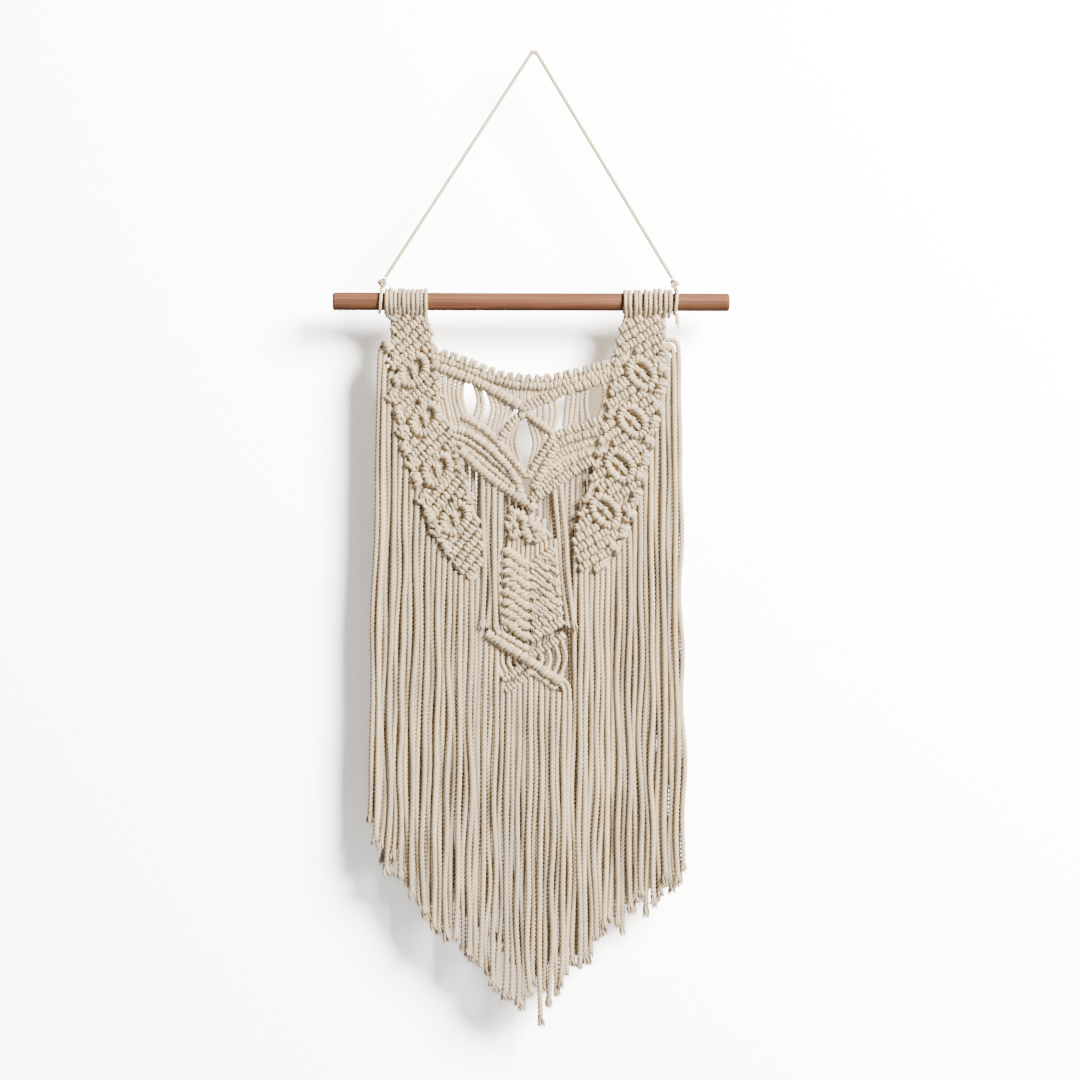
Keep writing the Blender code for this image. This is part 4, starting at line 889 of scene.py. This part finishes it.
def slanting_rows(yarn, side, middle):
    """Rows of half hitches parallel to each tie bar, wherever the diamonds leave room."""
    top = TIE_BARS[side][0]
    shift, rise = (-8.0 if side == "left" else 5.0), 38.0
    bars = [Bar(top.x1 + shift, top.z1 + rise, top.x2 + shift, top.z2 + rise), *TIE_BARS[side]]
    starts = np.array([(bar.x1, bar.z1) for bar in bars])
    headings = unit(np.array([(bar.x2 - bar.x1, bar.z2 - bar.z1) for bar in bars]))
    sides = np.stack([-headings[:, 1], headings[:, 0]], axis=1)
    lowest = STRAP_ROWS[side][-1].height
    for k, (start, heading, out) in enumerate(zip(starts, headings, sides)):
        for step in range(-5, 6):
            run = []
            for travel in np.arange(-30.0, 64.0, 1.4):
                x, z = start + out * step * ROW_PITCH + heading * travel
                outer, inner = strap_edges(side, z)
                inward = 1.0 if inner > outer else -1.0
                inside = 2.8 < (x - outer) * inward < abs(inner - outer) - 0.8
                inside = inside and lowest + 1.5 < z < STRAP_TOP
                offsets = np.abs(np.sum(((x, z) - starts) * sides, axis=1))
                mine = offsets.argmin() == k
                if inside and mine and not in_diamond(x, z, side, 2.0):
                    run.append((float(x), float(z)))
                    continue
                tie_run(yarn, run, middle)
                run = []
            tie_run(yarn, run, middle)


def tie_run(yarn, run, middle):
    """One slanting row, or a small knot where there is room for no more."""
    if len(run) > 5:
        yarn.hitch_row([run[0], run[len(run) // 2], run[-1]], middle + 0.1, "strap")
    elif len(run) > 1:
        (x1, z1), (x2, z2) = run[0], run[-1]
        turn = math.atan2(x2 - x1, z2 - z1)
        yarn.square_knot((x1 + x2) / 2, (z1 + z2) / 2, middle + 0.3, 7.0, turn, 7.2)


def fill_between(yarn, upper, lower, middle, lean):
    """Hitched rows between two others, as many as fit, over cords that run from one to the other."""
    first, second = laid(upright(upper, middle), 1.0), laid(upright(lower, middle), 1.0)
    first = first[np.linspace(0, len(first) - 1, 24).round().astype(int)]
    second = second[np.linspace(0, len(second) - 1, 24).round().astype(int)]
    for a, b in zip(first, second):
        yarn.cord(laid([a + BACK * 1.8, b + BACK * 1.8], 1.3), 2.2)
    for share in (0.31, 0.66):
        line = first + (second - first) * share
        line = line[np.linalg.norm(second - first, axis=1) > 12.5]
        if len(line) > 3:
            yarn.hitch_row([(x, z) for x, _, z in line[::3]], middle + 0.4, "leaf filling", lean)


def picots(yarn, places, middle):
    """Small knuckles of cord, two and two, that stand along the top of the neckline."""
    path = laid(upright(places, middle), 7.5)
    along = unit(np.gradient(path, axis=0))
    out = unit(np.cross(along, BACK))
    out = out * np.sign(out[:, 2:3])
    for shift in (-1.7, 1.7):
        lift = yarn.rng.uniform(2.6, 3.6, (len(path), 1))
        lean = yarn.rng.normal(-0.26 * np.sign(shift), 0.16, len(path))
        yarn.loops(path + along * shift + out * lift, along, out, 2.5, 2.4, 1.85, lean)


def bends(yarn, cords, middle, radius=1.95, wander=0.6):
    """Loose cords that bow round an eye, each a little nearer or farther than the next."""
    for bend in cords:
        deep = middle + yarn.rng.uniform(-wander, wander)
        path = laid([(bend.x1, deep, bend.z1), (bend.x2, deep, bend.z2), (bend.x3, deep, bend.z3)], 1.1)
        yarn.cord(path, radius)


def strand_path(strand, middle, settings, rng, leaves_strap, step):
    """A strand's line from its knot to its end, with the slow wander of hanging cord."""
    sway = settings.sway / MM
    length = strand.z_top - strand.z_end - FRAY
    marks = np.linspace(0.0, 1.0, max(6, int(length / 16)))
    x = strand.x_top + (strand.x_end - strand.x_top) * marks
    z = strand.z_top - length * marks
    slow = np.sin(z / 31.0 + strand.x_top / 9.0) + 0.6 * np.sin(z / 17.0 + strand.x_top / 5.0)
    own = np.sin(z / rng.uniform(10.0, 22.0) + rng.uniform(0, 6.3)) * rng.uniform(0.6, 1.6)
    loosened = np.clip((strand.z_top - z) / 60.0, 0.0, 1.0) * (0.45 + 0.75 * marks)
    x = x + sway * loosened * (slow + 0.8 * own)
    forward = rng.uniform(0.6, 1.5) * (-1 if round(strand.x_top / 4.15) % 2 else 1)
    depth = middle + forward * np.clip((strand.z_top - z) / 30.0, 0, 1)
    depth = depth + 0.5 * loosened * np.sin(z / 23.0 + rng.uniform(0, 6.3))
    path = np.stack([x, depth, z], axis=1)
    if leaves_strap:
        side = "right" if strand.x_top > 0 else "left"
        outer, inner = strap_edges(side, strand.z_top + LEAVING)
        start = (outer + (inner - outer) * 0.14, middle + 1.6, strand.z_top + LEAVING)
        path[1] = (path[0] + path[1]) / 2
        path[0] = (path[0] + start) / 2 + (0.35 * (strand.x_top - start[0]), 0.0, 1.5)
        path = np.vstack([start, path])
    return laid(path, step)


def doubled(strands):
    """The same row of strands with one more between each two."""
    between = [Strand(*(np.add(a, b) / 2)) for a, b in zip(strands, strands[1:])]
    return sorted([*strands, *between], key=lambda strand: strand.x_top)


def hang_strand(yarn, path, settings):
    """A strand with the swelling of its cut end."""
    radius = settings.cord / MM / 2
    count = len(path)
    size = np.full(count, radius * yarn.rng.uniform(0.94, 1.0))
    groove = np.full(count, 0.31)
    left = np.arange(count)[::-1]
    size = size * (1 + 0.16 * np.clip(1 - left / 7.0, 0, 1))
    groove = groove + 0.10 * np.clip(1 - left / 8.0, 0, 1)
    size[-1] *= 0.45
    yarn.cord(path, size, settings.lay / MM, groove)
    yarn.frayed_end(path[-1], unit(path[-1] - path[-4]), radius)


def overhand(yarn, x, z, size, radius, tilt=0.0):
    """A small tight overhand knot."""
    t = np.linspace(0.0, 2 * math.pi, 61)
    x_run, z_run = np.sin(t) + 2 * np.sin(2 * t), np.cos(t) - 2 * np.cos(2 * t)
    knot = np.stack([x_run, -np.sin(3 * t) * 1.2, z_run], axis=1)
    turn = np.array(((math.cos(tilt), 0, math.sin(tilt)), (0, 1, 0), (-math.sin(tilt), 0, math.cos(tilt))))
    yarn.cord(np.array((x, 0.0, z)) + knot @ turn.T * size / 3, radius, 6.5, toward=RIGHT + 0.1 * UP)


# Operators


class MACRAME_OT_hanging_cord(bpy.types.Operator):
    """Lays the hanging cord over the hook and hitches both its ends round the dowel"""

    bl_idname = "macrame.hanging_cord"
    bl_label = "Hanging Cord"

    def execute(self, context):
        settings = context.scene.macrame_cotton
        radius = settings.hanger / MM / 2
        material = cotton("hanging cord cotton", settings, fibres=56.0, painted_ply_shade=0.45)
        centre = np.array((0.0, radius - HOOK_BEND))
        feet = {side: np.array(foot) for side, foot in CORD_FEET.items()}
        touch = {}
        for side, foot in feet.items():
            reach = foot - centre
            heading = math.atan2(reach[1], reach[0])
            touch[side] = heading + side * math.acos(HOOK_BEND / np.linalg.norm(reach))
        start, end = touch[-1] % (2 * math.pi), touch[1] % (2 * math.pi)
        places = [feet[-1]]
        for i in range(9):
            turn = start + (end - start) * i / 8
            place = centre + np.array((math.cos(turn), math.sin(turn))) * HOOK_BEND
            if i == 0:
                places += [places[0] + (place - places[0]) * t for t in (0.25, 0.5, 0.75)]
            places.append(place)
        last = places[-1]
        places += [last + (feet[1] - last) * t for t in (0.25, 0.5, 0.75, 1.0)]
        path = laid([(x, 0.0, z) for x, z in places], 0.8)
        yarn = Yarn(SEEDS["hanging_cord"])
        yarn.cord(path, radius, 6.4, 0.24)
        obj = yarn.object("hanging_cord_line", material, "hanging_cord")
        for side, (loop_x, knot_x) in HITCHES.items():
            yarn = Yarn(SEEDS[f"hitch_{side}"])
            out = -1 if side == "left" else 1
            centre = np.array((loop_x, 0.0, DOWEL_HEIGHT))
            yarn.loops(centre[None], RIGHT[None], UP[None], HITCH_REACH, HITCH_REACH, radius, 0.10, 34, 26)
            overhand(yarn, knot_x, HITCH_KNOT_HEIGHT, 2.7, radius * 0.92, 0.4 * out)
            link = [(knot_x - 0.6 * out, 0.2, HITCH_KNOT_HEIGHT), (loop_x, 0.0, -178.6)]
            yarn.cord(laid(link, 0.8), radius, 6.4)
            if side == "right":
                tail = laid([(loop_x, -0.4, -195.4), (loop_x + 0.7, -0.5, -198.4),
                             (loop_x + 1.0, -0.5, -202.0)], 0.8)
                yarn.cord(tail, radius, 6.4)
                yarn.frayed_end(tail[-1] + UP * 3.0, -UP, radius * 0.8)
            yarn.object(f"hitch_{side}_cord", material, f"hitch_{side}")
        return {"FINISHED"}


class MACRAME_OT_dowel(bpy.types.Operator):
    """Turns the wooden dowel with its softened ends"""

    bl_idname = "macrame.dowel"
    bl_label = "Dowel"

    def execute(self, context):
        settings = context.scene.macrame_dowel
        low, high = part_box("dowel")
        middle = (low[2] + high[2]) / 2
        radius, edge = settings.radius, settings.edge
        end = [(0.0, 0.0), (0.0, radius * 0.5), (0.0, radius - edge)]
        end += [(edge * (1 - math.cos(a)), radius - edge * (1 - math.sin(a)))
                for a in np.linspace(0.15, math.pi / 2, 5)]
        stations = [(low[0] + inward, reach) for inward, reach in end]
        stations += [(x, radius) for x in np.linspace(low[0] + 2 * edge, high[0] - 2 * edge, 60)]
        stations += [(high[0] - inward, reach) for inward, reach in reversed(end)]
        sides = 96
        rng = np.random.default_rng(SEEDS["dowel"])
        turn = np.arange(sides) * 2 * math.pi / sides
        points, faces = [], []
        for x, reach in stations:
            soft = reach * (1 + 0.004 * np.sin(3 * turn + x * 40) + rng.normal(0, 0.0008))
            points += [(x, r * math.sin(a), middle + r * math.cos(a)) for r, a in zip(soft, turn)]
        for i in range(len(stations) - 1):
            for k in range(sides):
                m = (k + 1) % sides
                near, far = i * sides, (i + 1) * sides
                faces.append((near + k, near + m, far + m, far + k))
        mesh = bpy.data.meshes.new("dowel_wood")
        mesh.from_pydata(points, [], faces)
        mesh.validate()
        mesh.polygons.foreach_set("use_smooth", np.ones(len(mesh.polygons), bool))
        obj = bpy.data.objects.new("dowel_wood", mesh)
        context.scene.collection.objects.link(obj)
        dressed(obj, dowel_wood(settings), "dowel")
        return {"FINISHED"}


class MACRAME_OT_larks_heads(bpy.types.Operator):
    """Wraps the cords over the dowel in two groups of lark's heads"""

    bl_idname = "macrame.larks_heads"
    bl_label = "Lark's Heads"

    def execute(self, context):
        material = knotting_cotton(context)
        for side, (start, end) in LARKS_HEADS.items():
            yarn = Yarn(SEEDS[f"larks_heads_{side}"])
            pitch = (end - start) / WRAPS
            shift = np.arange(WRAPS) + 0.5
            if side == "right":
                shift = shift + np.where(np.arange(WRAPS) % 2, -0.045, 0.045)
            x = start + shift * pitch
            centres = np.stack([x, np.zeros(WRAPS), np.full(WRAPS, DOWEL_HEIGHT)], axis=1)
            axis, across = np.tile(RIGHT, (WRAPS, 1)), np.tile(UP, (WRAPS, 1))
            reach = DOWEL_RADIUS + 1.8
            yarn.loops(centres, axis, across, reach, reach, WRAP_RADIUS, 0.02, 36, 18)
            for place in x:
                drift = (x.mean() - place) * 0.05
                path = [(place, -8.0, -191.0), (place + drift / 2, -5.0, -194.8),
                        (place + drift, -1.0, -198.5)]
                yarn.cord(laid(path, 1.1), WRAP_RADIUS)
            yarn.object(f"larks_heads_{side}_cords", material, f"larks_heads_{side}")
        return {"FINISHED"}


class MACRAME_OT_straps(bpy.types.Operator):
    """Ties the two straps with their diamonds, tie rows and edge knots"""

    bl_idname = "macrame.straps"
    bl_label = "Straps"

    def execute(self, context):
        material = knotting_cotton(context)
        for side in ("left", "right"):
            yarn = Yarn(SEEDS[f"strap_{side}"])
            tie_strap(yarn, side)
            yarn.object(f"strap_{side}_knots", material, f"strap_{side}")
        return {"FINISHED"}


class MACRAME_OT_neckline(bpy.types.Operator):
    """Ties the neckline with its picots, and the chevron row under it"""

    bl_idname = "macrame.neckline"
    bl_label = "Neckline"

    def execute(self, context):
        material = knotting_cotton(context)
        yarn = Yarn(SEEDS["neckline"])
        below = [(x, z - 1.6) for x, z in NECKLINE]
        yarn.hitch_row(below, LEAF_MIDDLE, "neckline")
        picots(yarn, NECKLINE, LEAF_MIDDLE)
        yarn.object("neckline_knots", material, "neckline")
        yarn = Yarn(SEEDS["chevron_row"])
        for k in range(24):
            x = -69.0 + 5.4 * k
            top = float(np.interp(x, *zip(*NECKLINE)))
            low = float(np.interp(x, *zip(*(CHEVRON_LEFT if x < -6.0 else CHEVRON_RIGHT[::-1]))))
            yarn.cord(laid([(x, 0.4, top - 3.0), (x - 0.4, 0.0, low + 1.0)], 1.2), 2.0)
            yarn.cord(laid([(x + 2.7, 0.8, top - 3.0), (x + 2.4, 0.6, low + 1.0)], 1.2), 2.0)
        yarn.hitch_row(CHEVRON_LEFT, LEAF_MIDDLE - 0.3, "chevron left", SLANT["left"])
        yarn.hitch_row(CHEVRON_RIGHT, LEAF_MIDDLE - 0.3, "chevron right", SLANT["right"])
        yarn.object("chevron_row_knots", material, "chevron_row")
        return {"FINISHED"}


class MACRAME_OT_nets(bpy.types.Operator):
    """Lays the loose cords of the two nets round their open eyes"""

    bl_idname = "macrame.nets"
    bl_label = "Nets"

    def execute(self, context):
        material = knotting_cotton(context)
        for side in ("left", "right"):
            yarn = Yarn(SEEDS[f"net_{side}"])
            bends(yarn, NET_CORDS[side], NET_MIDDLE)
            yarn.hitch_row(NET_ROW[side], NET_MIDDLE - 0.6, "net", SLANT[side])
            yarn.object(f"net_{side}_cords", material, f"net_{side}")
        return {"FINISHED"}


class MACRAME_OT_centre(bpy.types.Operator):
    """Ties the centre diamond, the two leaves and the square knots below them"""

    bl_idname = "macrame.centre"
    bl_label = "Diamond and Leaves"

    def execute(self, context):
        material = knotting_cotton(context)
        yarn = Yarn(SEEDS["centre_diamond"])
        for side, bars in DIAMOND_BARS.items():
            for places in bars:
                yarn.hitch_row(places, NET_MIDDLE - 0.6, "centre", SLANT[side])
        bends(yarn, DIAMOND_CORDS, NET_MIDDLE + 0.6)
        yarn.object("centre_diamond_knots", material, "centre_diamond")
        for side, slant in SLANT.items():
            yarn = Yarn(SEEDS[f"leaf_{side}"])
            yarn.hitch_row(LEAF_UPPER[side], LEAF_MIDDLE - 0.2, "centre", slant)
            yarn.hitch_row(LEAF_LOWER[side], LEAF_MIDDLE - 0.6, "leaf foot", slant)
            fill_between(yarn, LEAF_UPPER[side], LEAF_LOWER[side], LEAF_MIDDLE + 0.2, slant)
            yarn.object(f"leaf_{side}_knots", material, f"leaf_{side}")
        yarn = Yarn(SEEDS["centre_knots"])
        for k in range(6):
            ends = [(-17.6 + 5.0 * k, 1.4, -341.0 - 2.0 * k), (-16.6 + 4.6 * k, 1.4, -368.0)]
            yarn.cord(laid(ends, 1.3), 2.2)
        for x, z, turn in COLUMN_KNOTS:
            yarn.square_knot(x, z, PANEL_MIDDLE, 8.8, math.radians(turn), 7.4)
        yarn.object("centre_square_knots", material, "centre_knots")
        return {"FINISHED"}


class MACRAME_OT_panel(bpy.types.Operator):
    """Ties the panel of slanting rows and the crossed bars under it"""

    bl_idname = "macrame.panel"
    bl_label = "Panel and Cross"

    def execute(self, context):
        material = knotting_cotton(context)
        yarn = Yarn(SEEDS["centre_panel"], PANEL_LOOSENESS)
        for i in range(PANEL_ROWS):
            top = PANEL_TOP - i * PANEL_PITCH
            share = i / (PANEL_ROWS - 1)
            right = PANEL_RIGHT[0] + (PANEL_RIGHT[1] - PANEL_RIGHT[0]) * share
            for edge, way in ((PANEL_LEFT, 1), (right, -1)):
                places = [(edge, top), (PANEL_CENTRE - 1.4 * way, top - PANEL_DROP)]
                yarn.hitch_row(places, PANEL_MIDDLE - 0.4, "panel", PANEL_SLANT * way)
        for k in range(11):
            x = -21.6 + 4.0 * k
            drift = 2.0 * k / 10
            low = -434.0 - 8.0 * (1 - abs(x - PANEL_CENTRE) / 20.0)
            yarn.cord(laid([(x * 0.86, 0.6, -366.0), (x, 0.8, -400.0), (x + drift, 0.8, low)], 1.2), 1.85)
        yarn.object("centre_panel_knots", material, "centre_panel")
        yarn = Yarn(SEEDS["cross_knot"])
        yarn.hitch_row(CROSS_LONG, CROSS_MIDDLE - 0.8, "long bar", 0.2)
        for places in CROSS_BARS:
            along_long = places[-1][0] > places[0][0] and places[-1][1] < places[0][1]
            slant = SLANT["left" if along_long else "right"]
            yarn.hitch_row(places, CROSS_MIDDLE + 0.4, "short bar", slant)
        bends(yarn, CROSS_CORDS, CROSS_MIDDLE + 1.0, 1.8, 0.4)
        yarn.object("cross_knots", material, "cross_knot")
        return {"FINISHED"}


class MACRAME_OT_fringe(bpy.types.Operator):
    """Hangs the fringe, each strand with its own slow wander and frayed end"""

    bl_idname = "macrame.fringe"
    bl_label = "Fringe"

    def execute(self, context):
        settings = context.scene.macrame_cotton
        material = cotton("fringe cotton", settings, painted_ply_shade=0.90)
        for number, (node, strands) in enumerate(FRINGE.items()):
            middle = BACK_STRANDS_MIDDLE if node == "strands_back" else FRONT_STRANDS_MIDDLE
            rng = np.random.default_rng(LINE_SEED + number)
            rest = Yarn(COMB_SEED + number)
            free = FREE_STRANDS.get(node, ())
            leaves_strap = node.endswith("outer")
            if node == "strands_back":
                strands = doubled(strands)
            if node in SECOND_LAYER:
                behind = [Strand(*(np.add(a, b) / 2 + (0, -6.0, 0, rng.uniform(-6.0, 16.0))))
                          for a, b in zip(strands, strands[1:])]
                for strand in behind:
                    depth = FRONT_STRANDS_MIDDLE + BEHIND
                    path = strand_path(strand, depth, settings, rng, leaves_strap, 1.5)
                    hang_strand(rest, path, settings)
            for i, strand in enumerate(strands):
                step = 1.6 if node == "strands_back" else 1.15
                path = strand_path(strand, middle, settings, rng, leaves_strap, step)
                if i not in free:
                    hang_strand(rest, path, settings)
                    continue
                yarn = Yarn(FREE_STRAND_SEED + 50 * number + i)
                hang_strand(yarn, path, settings)
                obj = yarn.object(f"{node}_free_{i:02d}", material, node)
                frayed = unit(path[-1] - path[-4]) * FRAY
                path = np.vstack([path, path[-1] + frayed * 0.5, path[-1] + frayed])
            if rest.points:
                rest.object(f"{node}_cords", material, node)
        return {"FINISHED"}


class MACRAME_OT_stage(bpy.types.Operator):
    """Sets up the wall, the floor, the lights and the camera"""

    bl_idname = "macrame.stage"
    bl_label = "Stage"

    def execute(self, context):
        settings = context.scene.macrame_stage
        scene = context.scene
        wall_y, floor_z = settings.wall_gap, CAD_BOX[0][2] - FLOOR_DROP
        self.sheet("wall", [(-4, wall_y, floor_z), (4, wall_y, floor_z), (4, wall_y, 3), (-4, wall_y, 3)],
                   self.paint("wall paint", settings.wall_colour, settings.painted_wall_light, True))
        self.sheet("floor", [(-4, -5, floor_z), (4, -5, floor_z), (4, 5, floor_z), (-4, 5, floor_z)],
                   self.paint("floor paint", settings.wall_colour, 1.0, False))
        for lamp in LAMPS:
            self.hang(lamp, getattr(settings, lamp.power))
        scene.world = self.room(settings.surround)
        data = bpy.data.cameras.new("camera")
        data.sensor_width = 36.0
        data.lens = data.sensor_width * CAMERA_DISTANCE / VIEW_WIDTH
        camera = bpy.data.objects.new("camera", data)
        scene.collection.objects.link(camera)
        aim(camera, CAMERA_PLACE, CAMERA_TARGET)
        scene.camera = camera
        return {"FINISHED"}

    def room(self, surround):
        """A dim room that looks pale behind the hanging."""
        world = bpy.data.worlds.new("room")
        world.use_nodes = True
        tree = world.node_tree
        dim = tree.nodes["Background"]
        dim.inputs["Color"].default_value = (1.0, 1.0, 1.0, 1.0)
        dim.inputs["Strength"].default_value = surround
        pale = tree.nodes.new("ShaderNodeBackground")
        pale.inputs["Color"].default_value = (0.9, 0.9, 0.9, 1.0)
        shader = tree.nodes.new("ShaderNodeMixShader")
        tree.links.new(tree.nodes.new("ShaderNodeLightPath").outputs["Is Camera Ray"], shader.inputs[0])
        tree.links.new(dim.outputs[0], shader.inputs[1])
        tree.links.new(pale.outputs[0], shader.inputs[2])
        tree.links.new(shader.outputs[0], tree.nodes["World Output"].inputs["Surface"])
        return world

    def sheet(self, name, corners, material):
        """A flat face of the stage."""
        mesh = bpy.data.meshes.new(name)
        mesh.from_pydata(corners, [], [(0, 1, 2, 3)])
        obj = bpy.data.objects.new(name, mesh)
        bpy.context.scene.collection.objects.link(obj)
        obj.data.materials.append(material)

    def paint(self, name, colour, gain, see_through_behind):
        """Matt paint, whose colour the camera sees raised by the gain: painted light that makes the wall
        look over-lit, as a studio backdrop is. The wall hides the hanging from no side.
        """
        material = bpy.data.materials.new(name)
        material.use_nodes = True
        tree = material.node_tree
        tree.nodes.remove(tree.nodes["Principled BSDF"])
        seen = tree.nodes.new("ShaderNodeBsdfDiffuse")
        # Painted light: the camera sees the colour raised by the gain; the shadows on the wall still come
        # from the lamps
        seen.inputs["Color"].default_value = [value * gain for value in colour] + [1.0]
        bounced = tree.nodes.new("ShaderNodeBsdfDiffuse")
        bounced.inputs["Color"].default_value = [value * WALL_BOUNCE for value in colour] + [1.0]
        shader = tree.nodes.new("ShaderNodeMixShader")
        direct = tree.nodes.new("ShaderNodeLightPath").outputs["Is Camera Ray"]
        tree.links.new(direct, shader.inputs[0])
        tree.links.new(bounced.outputs[0], shader.inputs[1])
        tree.links.new(seen.outputs[0], shader.inputs[2])
        tree.links.new(shader.outputs[0], tree.nodes["Material Output"].inputs["Surface"])
        if see_through_behind:
            clear = tree.nodes.new("ShaderNodeBsdfTransparent")
            either = tree.nodes.new("ShaderNodeMixShader")
            behind = tree.nodes.new("ShaderNodeNewGeometry").outputs["Backfacing"]
            shadow = tree.nodes.new("ShaderNodeLightPath").outputs["Is Shadow Ray"]
            open_to = tree.nodes.new("ShaderNodeMath")
            open_to.operation = "MAXIMUM"
            tree.links.new(behind, open_to.inputs[0])
            tree.links.new(shadow, open_to.inputs[1])
            tree.links.new(open_to.outputs[0], either.inputs[0])
            tree.links.new(shader.outputs[0], either.inputs[1])
            tree.links.new(clear.outputs[0], either.inputs[2])
            tree.links.new(either.outputs[0], tree.nodes["Material Output"].inputs["Surface"])
        return material

    def hang(self, lamp, power):
        """A round soft lamp that looks at the middle of the hanging."""
        data = bpy.data.lights.new(lamp.name, "AREA")
        data.shape = "DISK"
        data.size = lamp.size
        data.energy = power
        data.color = lamp.colour
        obj = bpy.data.objects.new(lamp.name, data)
        bpy.context.scene.collection.objects.link(obj)
        aim(obj, lamp.place, LIGHTS_TARGET)


def aim(obj, place, target):
    """Puts a lamp or a camera at a place, turned to look at its target."""
    obj.location = place
    obj.rotation_euler = (Vector(target) - Vector(place)).to_track_quat("-Z", "Y").to_euler()


class MACRAME_PT_panel(bpy.types.Panel):
    """Lists the settings and the pieces of the wall hanging"""

    bl_idname = "MACRAME_PT_panel"
    bl_label = "Macrame Wall Hanging"
    bl_space_type = "VIEW_3D"
    bl_region_type = "UI"
    bl_category = "Macrame"

    def draw(self, context):
        layout = self.layout
        for name in SETTINGS:
            box = layout.box()
            box.label(text=name.split("_")[1].title())
            settings = getattr(context.scene, name)
            for key in settings.__annotations__:
                box.prop(settings, key)
        for operator in OPERATORS:
            layout.operator(operator.bl_idname)


SETTINGS = {
    "macrame_cotton": MacrameCottonSettings,
    "macrame_dowel": MacrameDowelSettings,
    "macrame_stage": MacrameStageSettings,
}
OPERATORS = (
    MACRAME_OT_stage,
    MACRAME_OT_hanging_cord,
    MACRAME_OT_fringe,
    MACRAME_OT_dowel,
    MACRAME_OT_larks_heads,
    MACRAME_OT_straps,
    MACRAME_OT_neckline,
    MACRAME_OT_nets,
    MACRAME_OT_centre,
    MACRAME_OT_panel,
)
CLASSES = (*SETTINGS.values(), *OPERATORS, MACRAME_PT_panel)


def register():
    for cls in CLASSES:
        bpy.utils.register_class(cls)
    for name, cls in SETTINGS.items():
        setattr(bpy.types.Scene, name, bpy.props.PointerProperty(type=cls))


def unregister():
    for name in SETTINGS:
        delattr(bpy.types.Scene, name)
    for cls in reversed(CLASSES):
        bpy.utils.unregister_class(cls)


def main():
    register()
    for operator in OPERATORS:
        group, name = operator.bl_idname.split(".")
        getattr(getattr(bpy.ops, group), name)()


if __name__ == "__main__":
    main()
